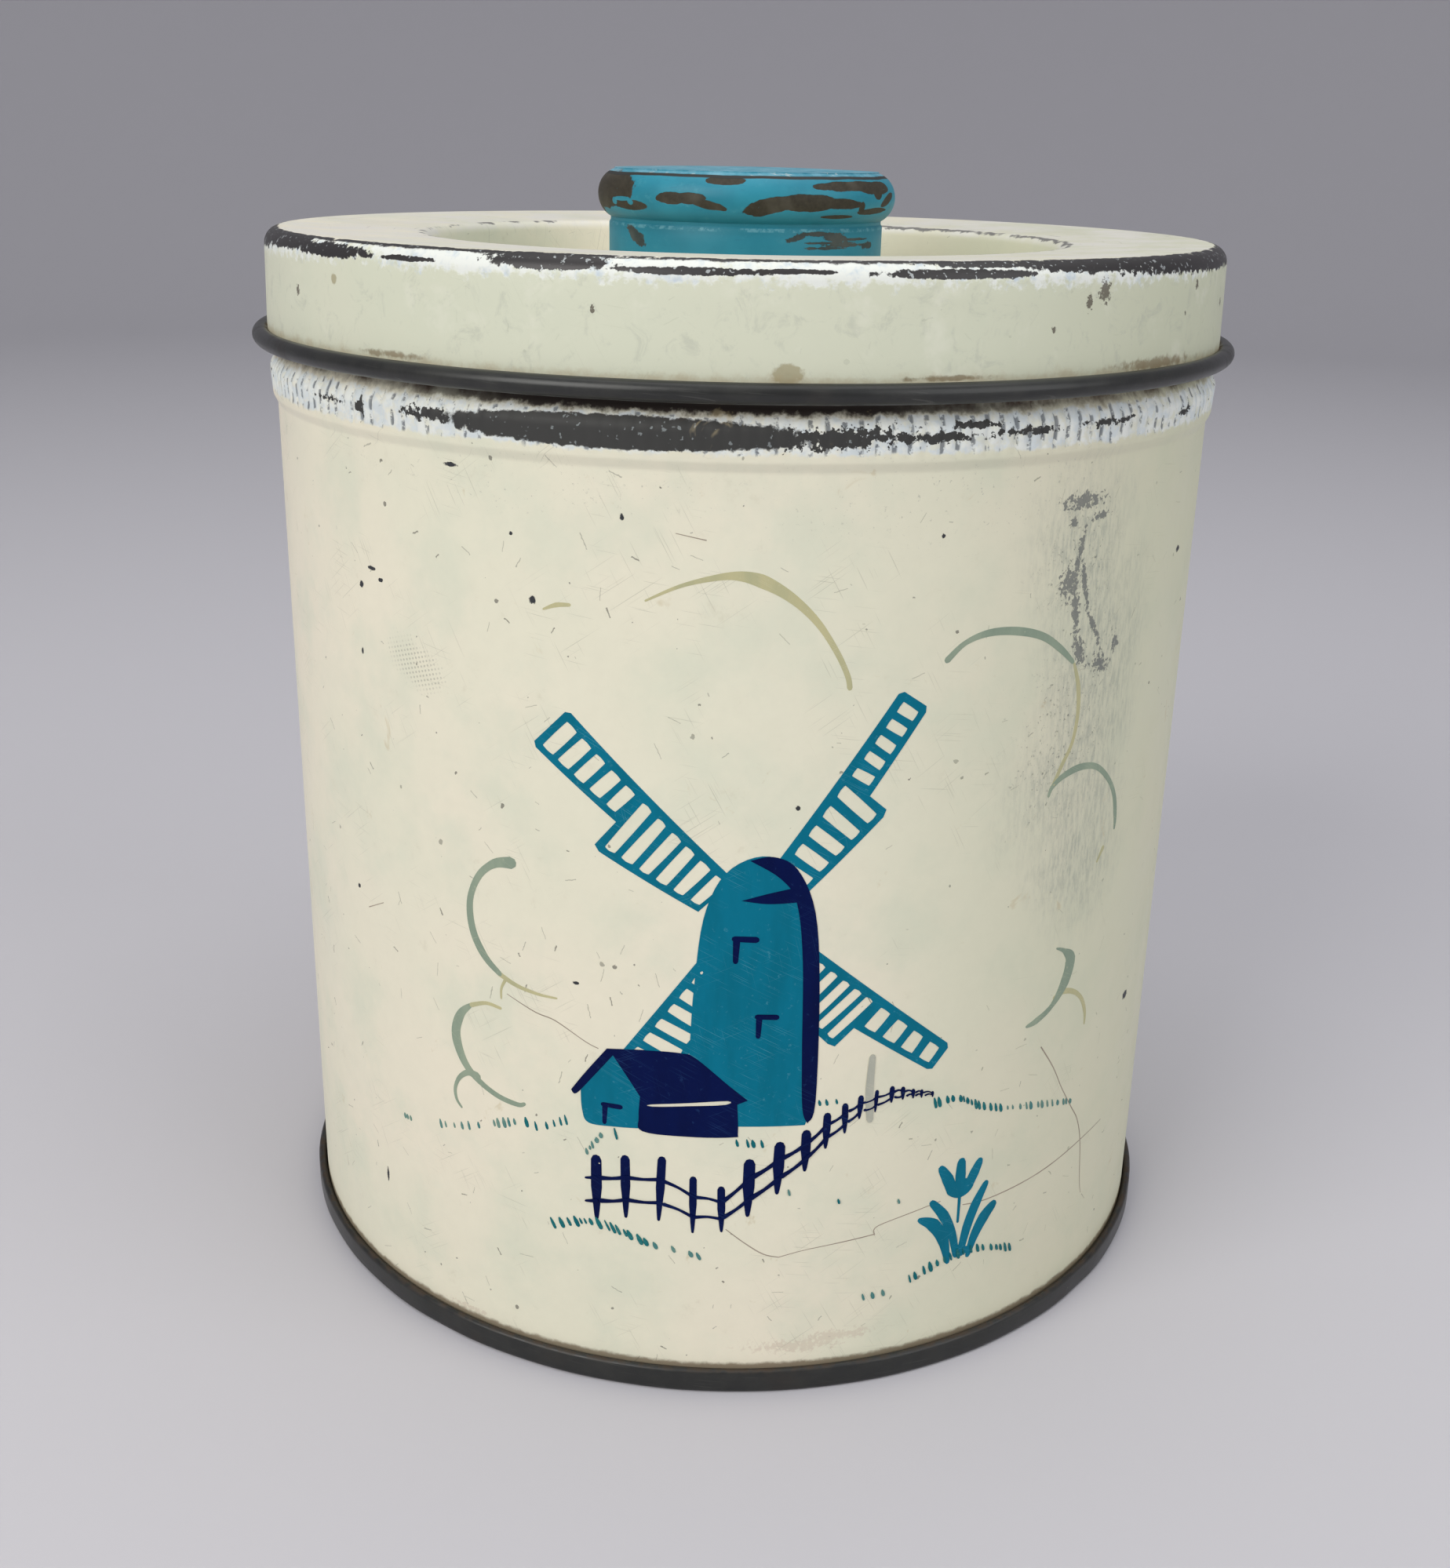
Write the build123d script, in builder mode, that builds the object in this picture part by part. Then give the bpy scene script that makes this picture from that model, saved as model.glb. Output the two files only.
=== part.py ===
"""Round tinplate kitchen canister with a lift-off lid and a turned wooden knob.

Millimetres, +Z up. The origin is the middle of the base, on the surface the canister stands on,
and -Y is the decorated front. Every sheet-metal piece is one folded sheet: its section is drawn as
the line down the middle of the sheet, given the sheet's thickness, and revolved about Z.
"""

import os

from build123d import *

# ---------------------------------------------------------------- driving dimensions
sheet = 0.35                      # tinplate thickness
half = sheet / 2

wall_radius = 80.0                # outside of the plain wall
lid_top = 178.0                   # top of the lid's corner
ring_fall = 1.0                   # how far the lid's ring falls from its corner to the well
lid_depth = 17.0                  # from the lid's top down to the middle of its edge curl
well_radius = 54.0                # well wall at the ring
well_depth = 12.0
stacking_gap = 0.4                # between the canister's rim and the underside of the lid

# Base seam: five layers of sheet, from the plate's chuck wall out to the plate's own outer wall
seam_height = 4.2
seam_gap = 0.2                    # between two layers of the rolled seam
layer = sheet + seam_gap
floor_height = 4.0                # middle of the countersunk floor above the table
floor_clearance = 0.02            # chuck wall to canister wall
hook_top = 3.1                    # end of the body hook
cover_hook_bottom = 1.6           # end of the plate's hook
seam_bend = 0.5                   # bend radius of the hooks
foot_bend = 0.6                   # bend radius at the foot of the seam

# Bead and neck under the lid
bead_bottom = 150.2
bead_widest = 156.0
bead_top = 158.9
bead_stand_out = 1.0              # how far the bead stands out from the wall
neck_set_in = 0.7                 # how far the neck is reduced from the wall

# Rolled edges
rim_curl_radius = 1.2             # canister's rim, rolled inwards
lid_curl_radius = 1.275           # lid's edge, rolled outwards
rim_curl_angle = 300
lid_curl_angle = 325

# Lid corner and well bends, to the middle of the sheet
skirt_top_radius = 80.375
skirt_foot_radius = 80.775
lid_corner_bend = 2.5
well_draft = 1.7                  # how much narrower the well is at its floor
well_top_bend = 1.8
well_floor_bend = 3.0

# Locked side seam, folded to the inside at the back
side_seam_width = 5.0
side_seam_depth = 0.8
side_seam_bottom = 5.0

# Knob, 2 in across
knob_roll_radius = 4.2            # section of the rounded grip
knob_roll_centre = 21.2           # radius of the middle of that section
knob_stem_radius = 23.4
knob_neck_radius = 23.15
knob_height = 22.2                # to the middle of its domed top
roll_height = 17.6                # middle of the grip above the knob's foot
stem_height = 13.0                # top of the plain stem above the knob's foot
foot_chamfer = 0.6

# Screw and washer under the well
shank_radius = 1.9
shank_length = 16.0
point_length = 4.0
head_radius = 3.9
head_height = 2.6
slot_width = 1.1
slot_depth = 1.1
washer_radius = 7.0
washer_hole_radius = 2.2
washer_thickness = 1.0
screw_hole_radius = 2.3           # hole in the lid

# ---------------------------------------------------------------- worked-out places
wall_middle = wall_radius - half
neck_middle = wall_middle - neck_set_in
bead_middle = wall_middle + bead_stand_out
cover_hook = wall_radius + seam_gap + half
body_hook = cover_hook + layer
seam_outer = body_hook + layer
chuck_wall = wall_radius - sheet - floor_clearance - half
hook_foot = sheet + seam_gap + half

rim_centre_z = lid_top - sheet - stacking_gap - half - rim_curl_radius
curl_centre_z = lid_top - lid_depth
lid_middle = lid_top - half
well_floor = lid_top - well_depth          # upper face of the well's floor
well_underside = well_floor - sheet
washer_bottom = well_underside - washer_thickness

os.makedirs("parts", exist_ok=True)

# ---------------------------------------------------------------- body_wall
# One sheet, locked into a tube at the back: hooked outwards at the foot for the base seam, beaded
# and necked in for the lid, and rolled inwards at the rim.
with BuildPart() as body_wall:
    with BuildSketch(Plane.XZ):
        with BuildLine() as wall_section:
            shell = FilletPolyline(
                (body_hook, hook_top),
                (body_hook, hook_foot),
                (wall_middle, hook_foot),
                (wall_middle, bead_bottom),
                (bead_middle - 0.3, bead_bottom + 1.4),
                (bead_middle, bead_widest),
                (neck_middle, bead_top),
                (neck_middle, rim_centre_z),
                radius=(seam_bend, seam_bend, 1.5, 1.2, 2.0, 1.5),
            )
            CenterArc(
                (neck_middle - rim_curl_radius, rim_centre_z), rim_curl_radius, 0, rim_curl_angle
            )
        trace(line_width=sheet)
    revolve(axis=Axis.Z)
    # The locked side seam: four layers of sheet pressed flat against the inside of the wall
    with BuildSketch(Plane.XY.offset(side_seam_bottom)):
        with Locations((0, wall_radius - half - side_seam_depth / 2)):
            Rectangle(side_seam_width, side_seam_depth)
    extrude(amount=bead_bottom - side_seam_bottom)
body_wall.part.label = "body_wall"

# ---------------------------------------------------------------- base_plate
# Pressed end with a countersunk floor. Its edge runs down inside the wall, under the canister's
# foot, up the outside, and hooks down behind the canister's own hook.
with BuildPart() as base_plate:
    with BuildSketch(Plane.XZ):
        with BuildLine():
            FilletPolyline(
                (0, floor_height),
                (chuck_wall, floor_height),
                (chuck_wall, half),
                (seam_outer, half),
                (seam_outer, seam_height - half),
                (cover_hook, seam_height - half),
                (cover_hook, cover_hook_bottom),
                radius=(foot_bend, foot_bend, foot_bend, seam_bend, seam_bend),
            )
        trace(line_width=sheet)
    revolve(axis=Axis.Z)
base_plate.part.label = "base_plate"

# ---------------------------------------------------------------- lid
# One pressed sheet: the well with its screw hole, the slightly dished ring, the skirt and the
# edge curl.
with BuildPart() as lid:
    with BuildSketch(Plane.XZ):
        with BuildLine():
            FilletPolyline(
                (screw_hole_radius, well_floor - half),
                (well_radius - well_draft, well_floor - half),
                (well_radius, lid_middle - ring_fall),
                (skirt_top_radius, lid_middle),
                (skirt_foot_radius, curl_centre_z + 2),
                (skirt_foot_radius, curl_centre_z),
                radius=(well_floor_bend, well_top_bend, lid_corner_bend, 5.0),
            )
            CenterArc(
                (skirt_foot_radius + lid_curl_radius, curl_centre_z),
                lid_curl_radius,
                180,
                lid_curl_angle,
            )
        trace(line_width=sheet)
    revolve(axis=Axis.Z)
lid.part.label = "lid"

# ---------------------------------------------------------------- knob
# Turned hardwood: plain stem, a small cove, a full rounded grip and a slightly domed top.
roll_centre_z = well_floor + roll_height
knob_top = well_floor + knob_height
with BuildPart() as knob:
    with BuildSketch(Plane.XZ):
        with BuildLine():
            stem = Polyline(
                (0, knob_top),
                (0, well_floor),
                (knob_stem_radius - foot_chamfer, well_floor),
                (knob_stem_radius, well_floor + foot_chamfer),
                (knob_stem_radius, well_floor + stem_height),
                (knob_neck_radius, well_floor + stem_height + 0.4),
            )
            grip = CenterArc((knob_roll_centre, roll_centre_z), knob_roll_radius, -62, 134)
            Line(stem @ 1, grip @ 0)
            TangentArc(stem @ 0, grip @ 1, tangent=(1, 0))
        make_face()
    revolve(axis=Axis.Z)
    with BuildSketch(Plane.XY.offset(well_floor)):
        Circle(shank_radius)
    extrude(amount=shank_length - sheet - washer_thickness, mode=Mode.SUBTRACT)
knob.part.label = "knob"

# ---------------------------------------------------------------- knob_screw
# Slotted round-head wood screw, driven up through the washer and the lid into the knob.
with BuildPart() as knob_screw:
    with BuildSketch(Plane.XZ):
        with BuildLine():
            shank = Polyline(
                (0, washer_bottom - head_height),
                (0, washer_bottom + shank_length),
                (shank_radius, washer_bottom + shank_length - point_length),
                (shank_radius, washer_bottom),
                (head_radius, washer_bottom),
            )
            TangentArc(shank @ 0, shank @ 1, tangent=(1, 0))
        make_face()
    revolve(axis=Axis.Z)
    with BuildSketch(Plane.XY.offset(washer_bottom - head_height)):
        Rectangle(2 * head_radius, slot_width)
    extrude(amount=slot_depth, mode=Mode.SUBTRACT)
knob_screw.part.label = "knob_screw"

# ---------------------------------------------------------------- screw_washer
with BuildPart() as screw_washer:
    with BuildSketch(Plane.XY.offset(washer_bottom)):
        Circle(washer_radius)
        Circle(washer_hole_radius, mode=Mode.SUBTRACT)
    extrude(amount=washer_thickness)
screw_washer.part.label = "screw_washer"

for piece in (body_wall, base_plate, lid, knob, knob_screw, screw_washer):
    export_step(piece.part, f"parts/{piece.part.label}.step")
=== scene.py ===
"""Looks of a round tin kitchen canister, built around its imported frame.

Sizes are in millimetres until a mesh is made, and then in metres. A place on the painted wall is
given by how far it lies round from the middle of the front, and how high it is above the table.
"""

import math
import random

import bmesh
import bpy
from mathutils import Matrix, Vector


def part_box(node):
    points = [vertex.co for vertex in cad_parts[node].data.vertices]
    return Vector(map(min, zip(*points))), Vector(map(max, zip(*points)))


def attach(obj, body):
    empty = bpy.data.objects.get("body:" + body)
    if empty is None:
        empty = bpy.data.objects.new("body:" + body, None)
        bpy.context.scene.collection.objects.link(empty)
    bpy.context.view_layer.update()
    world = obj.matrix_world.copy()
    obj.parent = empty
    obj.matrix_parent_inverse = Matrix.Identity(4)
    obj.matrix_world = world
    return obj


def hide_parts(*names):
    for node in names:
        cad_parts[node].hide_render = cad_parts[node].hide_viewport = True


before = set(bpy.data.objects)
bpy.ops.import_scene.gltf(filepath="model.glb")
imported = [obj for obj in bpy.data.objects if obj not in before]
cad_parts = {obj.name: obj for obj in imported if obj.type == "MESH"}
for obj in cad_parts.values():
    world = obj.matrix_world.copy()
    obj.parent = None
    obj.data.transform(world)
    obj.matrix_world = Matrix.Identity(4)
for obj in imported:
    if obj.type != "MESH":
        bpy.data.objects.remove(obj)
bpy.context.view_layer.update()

# ------------------------------------------------------------------ the wall
# The wall is one sheet of tinplate rolled to a tube, locked at the back and enamelled ivory. Under
# the lid it is pressed into a knurled bead and a plain neck, and its rim is rolled inwards.
MM = 0.001
sheet = 0.35
wall_radius = 80.0
wall_middle = wall_radius - sheet / 2
bead_foot, bead_widest, bead_top = 150.2, 156.0, 158.9
neck_middle = wall_middle - 0.7
rim_roll = 1.2
rim_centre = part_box("body_wall")[1].z / MM - rim_roll - sheet / 2
base_hook = 80.925                # middle of the wall's hook inside the base seam
knurl_count = 216
knurl_foot, knurl_top = 152.3, 158.3
knurl_depth = 0.32
side_seam_half = 2.5
side_seam_step = 0.75


def arc_points(centre, radius, start, sweep, steps):
    """Points along an arc, with its angles in degrees."""
    points = []
    for step in range(steps + 1):
        angle = math.radians(start + sweep * step / steps)
        points.append(Vector(centre) + radius * Vector((math.cos(angle), math.sin(angle))))
    return points


def folded_line(corners, bends, steps=7):
    """The middle line of a folded sheet: every inner corner is an arc of its bend radius."""
    line = [Vector(corners[0])]
    for before, corner, after, bend in zip(corners, corners[1:], corners[2:], bends):
        corner = Vector(corner)
        back = (Vector(before) - corner).normalized()
        ahead = (Vector(after) - corner).normalized()
        half = back.angle(ahead) / 2
        centre = corner + (back + ahead).normalized() * bend / math.sin(half)
        start = corner + back * bend / math.tan(half) - centre
        end = corner + ahead * bend / math.tan(half) - centre
        first = math.degrees(math.atan2(start.y, start.x))
        turn = (math.degrees(math.atan2(end.y, end.x)) - first + 180) % 360 - 180
        line += arc_points(centre, bend, first, turn, steps)
    return line + [Vector(corners[-1])]


def divided(line, longest):
    """The same line with no run longer than longest(height)."""
    points = [line[0]]
    for start, end in zip(line, line[1:]):
        length = (end - start).length
        if length < 1e-5:
            continue
        runs = max(1, math.ceil(length / longest((start.y + end.y) / 2)))
        points += [start.lerp(end, run / runs) for run in range(1, runs + 1)]
    return points


def both_faces(line):
    """The two faces of a sheet whose middle runs along the line, joined into one outline."""
    left, right = [], []
    for place, point in enumerate(line):
        along = line[min(place + 1, len(line) - 1)] - line[max(place - 1, 0)]
        across = Vector((-along.y, along.x)).normalized() * sheet / 2
        left.append(point + across)
        right.append(point - across)
    return left + right[::-1]


def round_wall(angle, radius, height):
    """The point at a radius and height, with angle 0 at the middle of the front."""
    return Vector((radius * math.sin(angle), -radius * math.cos(angle), height)) * MM


def eased(value, low, high):
    """0 below low, 1 above high, and smooth between them."""
    share = min(1.0, max(0.0, (value - low) / (high - low)))
    return share * share * (3 - 2 * share)


def as_object(name, shape, sharp=32):
    """A mesh object made from a bmesh, smooth but for the edges sharper than so many degrees."""
    bmesh.ops.recalc_face_normals(shape, faces=shape.faces)
    for face in shape.faces:
        face.smooth = True
    for edge in shape.edges:
        edge.smooth = edge.calc_face_angle(0.0) < math.radians(sharp)
    mesh = bpy.data.meshes.new(name)
    shape.to_mesh(mesh)
    shape.free()
    piece = bpy.data.objects.new(name, mesh)
    bpy.context.scene.collection.objects.link(piece)
    return piece


def turned(name, outline, around=288, press=None, coats=None, closed=True):
    """An outline of (radius, height) carried round the axis. press gives how far a point moves out,
    and coats gives the number of the coat on the face after each point of the outline."""
    shape = bmesh.new()
    rings = []
    for turn in range(around):
        angle = 2 * math.pi * turn / around
        ring = []
        for place, (radius, height) in enumerate(outline):
            out = press(angle, height, place) if press else 0.0
            ring.append(shape.verts.new(round_wall(angle, radius + out, height)))
        rings.append(ring)
    last = len(outline) if closed else len(outline) - 1
    for ring, following in zip(rings, rings[1:] + rings[:1]):
        for place in range(last):
            after = (place + 1) % len(outline)
            corners = (ring[place], following[place], following[after], ring[after])
            face = shape.faces.new(corners)
            face.material_index = coats[place] if coats else 0
    bmesh.ops.remove_doubles(shape, verts=shape.verts, dist=1e-7)
    return as_object(name, shape)


wall_corners = [
    (base_hook, 3.1),
    (base_hook, 0.725),
    (wall_middle, 0.725),
    (wall_middle, bead_foot),
    (wall_middle + 0.7, bead_foot + 1.4),
    (wall_middle + 1.0, bead_widest),
    (neck_middle, bead_top),
    (neck_middle, rim_centre),
]
wall_line = folded_line(wall_corners, (0.5, 0.5, 1.5, 1.2, 2.0, 1.5), steps=4)
wall_line += arc_points((neck_middle - rim_roll, rim_centre), rim_roll, 0, 300, 15)
wall_line = divided(wall_line, lambda height: 0.75 if bead_foot < height < bead_top else 12.0)
wall_outline = both_faces(wall_line)
inner_faces = len(wall_line)


def pressed_wall(angle, height, place):
    """The knurls of the bead, and the locked seam at the back: a groove outside, a step inside."""
    in_band = eased(height, knurl_foot, knurl_foot + 1.0) * (1 - eased(height, knurl_top - 1.1, knurl_top))
    knurl = (0.5 + 0.5 * math.cos(knurl_count * angle)) ** 2
    rubbed_flat = 0.8 * math.exp(-((math.remainder(angle + 0.2, 2 * math.pi) / 0.36) ** 4))
    out = -knurl_depth * in_band * knurl * (1 - rubbed_flat)
    from_back = (angle - math.pi) * wall_radius
    if 5.0 < height < bead_foot - 1 and place < inner_faces:
        out -= side_seam_step * (1 - eased(abs(from_back), side_seam_half - 0.4, side_seam_half))
    elif 5.0 < height < bead_foot - 1:
        out -= 0.28 * math.exp(-(((from_back - side_seam_half) / 0.45) ** 2))
    return out


wall_coats = [1] * inner_faces + [0] * inner_faces
body_wall = turned("body_wall_tin", wall_outline, 6 * knurl_count, pressed_wall, wall_coats)


def screen(red, green, blue):
    """A colour given on a 0 to 255 scale, as the linear values that a shader takes."""
    values = [channel / 255 for channel in (red, green, blue)]
    linear = [v / 12.92 if v <= 0.04045 else ((v + 0.055) / 1.055) ** 2.4 for v in values]
    return (*linear, 1.0)


class Amount:
    """A number that a finish's nodes work out. A sum with it adds the node for that sum."""

    def __init__(self, finish, socket):
        self.finish = finish
        self.socket = socket

    def __add__(self, other):
        return self.finish.calc("ADD", self, other)

    def __sub__(self, other):
        return self.finish.calc("SUBTRACT", self, other)

    def __rsub__(self, other):
        return self.finish.calc("SUBTRACT", other, self)

    def __mul__(self, other):
        return self.finish.calc("MULTIPLY", self, other)

    def __truediv__(self, other):
        return self.finish.calc("DIVIDE", self, other)

    def __pow__(self, other):
        return self.finish.calc("POWER", self, other)

    def fade(self, low, high, first=0.0, last=1.0):
        """Goes smoothly from first to last as this number goes from low to high."""
        inputs = {"Value": self, "From Min": low, "From Max": high, "To Min": first, "To Max": last}
        node = self.finish.add("ShaderNodeMapRange", inputs, interpolation_type="SMOOTHSTEP")
        return Amount(self.finish, node.outputs["Result"])

    def band(self, low, risen, falling, gone):
        """1 from risen to falling, and 0 below low and above gone."""
        return self.fade(low, risen) * self.fade(falling, gone, 1.0, 0.0)


class Finish:
    """A finish built up coat by coat. Places on it are in mm, as numbers that its nodes work out."""

    def __init__(self, name, colour, roughness, metallic=0.0, gloss=0.5, girth=wall_radius):
        self.material = bpy.data.materials.new(name)
        self.material.use_nodes = True
        self.tree = self.material.node_tree
        self.shader = self.tree.nodes["Principled BSDF"]
        self.shader.inputs["Specular IOR Level"].default_value = gloss
        self.colour, self.roughness, self.metallic, self.level = colour, roughness, metallic, 0.0
        where = self.add("ShaderNodeTexCoord").outputs["Object"]
        self.place = self.vector("SCALE", where, Scale=1 / MM)
        self.across, depth, self.height = self.parts(self.place)
        self.radius = self.calc("SQRT", self.across ** 2.0 + depth ** 2.0)
        self.turn = self.calc("ARCTAN2", self.across, depth * -1.0)
        self.round = self.turn * girth
        self.flat = self.joined(self.round, self.height - self.radius)

    def link(self, value, entry):
        """Gives an input of a node a fixed value, or what another node works out."""
        if isinstance(value, Amount):
            value = value.socket
        if isinstance(value, bpy.types.NodeSocket):
            self.tree.links.new(value, entry)
        else:
            entry.default_value = value

    def add(self, kind, inputs=None, **settings):
        node = self.tree.nodes.new(kind)
        for name, value in settings.items():
            setattr(node, name, value)
        for name, value in (inputs or {}).items():
            self.link(value, node.inputs[name])
        return node

    def calc(self, operation, *values):
        node = self.add("ShaderNodeMath", dict(enumerate(values)), operation=operation)
        return Amount(self, node.outputs[0])

    def vector(self, operation, *values, **named):
        inputs = {**dict(enumerate(values)), **named}
        return self.add("ShaderNodeVectorMath", inputs, operation=operation).outputs[0]

    def parts(self, vector):
        """The three numbers of a place or a colour."""
        split = self.add("ShaderNodeSeparateXYZ", {0: vector}).outputs
        return [Amount(self, part) for part in split]

    def joined(self, *numbers):
        """A place from its numbers."""
        return self.add("ShaderNodeCombineXYZ", dict(enumerate(numbers))).outputs[0]

    def noise(self, size, detail=2.0, roughness=0.5, across=None, twist=0.0):
        """Noise from 0 to 1 with features of about that size in mm."""
        inputs = {"Vector": across or self.place, "Scale": 1 / size, "Detail": detail,
                  "Roughness": roughness, "Distortion": twist}
        return Amount(self, self.add("ShaderNodeTexNoise", inputs).outputs[0])

    def mixed(self, amount, under, over):
        """Colour under with colour over laid on it by an amount."""
        inputs = {0: amount, 6: under, 7: over}
        return self.add("ShaderNodeMix", inputs, data_type="RGBA").outputs[2]

    def lay(self, amount, colour=None, roughness=None, metallic=None, level=None):
        """Lays a coat, a stain or a bare patch over what is there, where amount reaches."""
        if colour is not None:
            self.colour = self.mixed(amount, self.colour, colour)
        for name, over in (("roughness", roughness), ("metallic", metallic), ("level", level)):
            if over is not None:
                inputs = {0: amount, 2: getattr(self, name), 3: over}
                moved = self.add("ShaderNodeMix", inputs, data_type="FLOAT").outputs[0]
                setattr(self, name, Amount(self, moved))

    def patch(self, spot, ragged, soft=0.06):
        """1 inside an oval and 0 outside, with an edge torn by ragged. A spot is (round, height,
        half width, half height), or that with a lean as a fifth number."""
        across, up, half_width, half_height = spot[:4]
        sideways = self.round - across
        upwards = self.height - up
        if len(spot) > 4:
            sideways = self.calc("MULTIPLY_ADD", upwards, -spot[4], sideways)
        far = (sideways / half_width) ** 2.0
        high = (upwards / half_height) ** 2.0
        reach = self.calc("SQRT", far + high) + ragged
        return reach.fade(1 - soft, 1 + soft, 1.0, 0.0)

    def patches(self, spots, size=1.6, tear=0.7, soft=0.06):
        """All these ovals together, torn by noise of that size."""
        ragged = (self.noise(size, 3.0, 0.65) - 0.5) * (2 * tear)
        whole = 0.0
        for spot in spots:
            whole = self.calc("MAXIMUM", whole, self.patch(spot, ragged, soft))
        return whole

    def dots(self, spacing, size, share):
        """Scattered irregular dots up to that size, on that share of a grid of that spacing."""
        shake = self.noise(size * 1.2, 2.0, 0.6)
        push = self.vector("SCALE", self.vector("SUBTRACT", shake, (0.5, 0.5, 0.5)), Scale=size)
        place = self.vector("ADD", self.place, push)
        cell = self.add("ShaderNodeTexVoronoi", {"Vector": place, "Scale": 1 / spacing}).outputs
        pick = self.add("ShaderNodeSeparateColor", {0: cell["Color"]}).outputs
        reach = self.calc("MULTIPLY", pick[1], 0.5 * size / spacing)
        inside = self.calc("LESS_THAN", cell["Distance"], reach)
        return inside * self.calc("LESS_THAN", pick[0], share)

    def ticks(self, spacing, length, width, share):
        """Short straight nicks at every angle, one in that share of the cells of a grid."""
        cell = self.add("ShaderNodeTexVoronoi", {"Vector": self.flat, "Scale": 1 / spacing},
                        voronoi_dimensions="2D").outputs
        pick = self.add("ShaderNodeSeparateColor", {0: cell["Color"]}).outputs
        away = self.vector("SUBTRACT", self.flat, cell["Position"])
        spin = {"Vector": away, "Angle": self.calc("MULTIPLY", pick[0], 6.2)}
        nick = self.add("ShaderNodeVectorRotate", spin, rotation_type="Z_AXIS").outputs[0]
        along, across, _ = self.parts(nick)
        reach = self.calc("MULTIPLY", pick[1], length / 2)
        on_line = self.calc("LESS_THAN", self.calc("ABSOLUTE", along), reach)
        shy = self.noise(0.5, 1.0) * (2 * width) - width
        in_width = self.calc("LESS_THAN", self.calc("ABSOLUTE", across + shy), width / 2)
        return on_line * in_width * self.calc("LESS_THAN", pick[2], share)

    def scratches(self, angle, length, width, share):
        """Fine straight marks at an angle to the level, in degrees."""
        aim = {"Vector": self.flat, "Rotation": (0.0, 0.0, -math.radians(angle))}
        turned_place = self.add("ShaderNodeMapping", aim, vector_type="TEXTURE").outputs[0]
        squeezed = self.vector("MULTIPLY", turned_place, (1 / length, 1 / width, 1.0))
        return self.noise(1.0, 0.0, 0.5, squeezed).fade(1 - share, 1 - share + 0.04)

    def done(self, bump=0.0, size=1.0):
        """Joins the coats to the shader and returns the material."""
        self.link(self.colour, self.shader.inputs["Base Color"])
        self.link(self.roughness, self.shader.inputs["Roughness"])
        self.link(self.metallic, self.shader.inputs["Metallic"])
        if bump:
            inputs = {"Strength": bump, "Distance": size * MM, "Height": self.level}
            normal = self.add("ShaderNodeBump", inputs).outputs["Normal"]
            self.link(normal, self.shader.inputs["Normal"])
        return self.material


ivory = screen(232, 229, 206)
ivory_cool = screen(216, 220, 198)
ivory_warm = screen(239, 231, 209)
primer = screen(228, 231, 224)
primer_blue = screen(194, 206, 213)
bare_tin = screen(50, 49, 48)
rust = screen(112, 70, 36)
grime = screen(120, 118, 104)


def enamel(name):
    """Old baked enamel: mottled tone, fine scratches, pin specks and a slightly uneven gloss."""
    coat = Finish(name, ivory, 0.38, gloss=0.4)
    coat.lay(coat.noise(45, 2.0).fade(0.35, 0.7), ivory_warm)
    coat.lay(coat.noise(15, 4.0, 0.6).fade(0.42, 0.72, 0.0, 0.55), ivory_cool)
    coat.lay(coat.noise(3.0, 5.0, 0.7) * 0.10, grime)
    coat.lay(coat.noise(6.0, 5.0, 0.7).fade(0.62, 0.78, 0.0, 0.22), screen(188, 176, 146))
    coat.level = coat.noise(2.2, 3.0, 0.55) * 0.10
    coat.roughness = coat.noise(16, 4.0, 0.6).fade(0.3, 0.7, 0.36, 0.50)
    for angle, length, width, share in ((62, 9, 0.16, 0.25), (-35, 12, 0.14, 0.24), (8, 8, 0.13, 0.24)):
        mark = coat.scratches(angle, length, width, share)
        broken = mark * coat.noise(14).fade(0.5, 0.62)
        coat.lay(broken * 0.28, grime, 0.55, level=-0.1)
    coat.lay(coat.ticks(6.0, 2.6, 0.10, 0.22) * 0.42, screen(104, 100, 88), 0.6, level=-0.2)
    coat.lay(coat.ticks(10.0, 1.6, 0.20, 0.25) * 0.65, screen(84, 80, 72), 0.6, level=-0.3)
    coat.lay(coat.dots(3.0, 0.6, 0.30) * 0.6, bare_tin, 0.6, level=-0.35)
    coat.lay(coat.dots(6.5, 1.1, 0.16) * 0.6, grime, 0.6, level=-0.2)
    return coat


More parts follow.
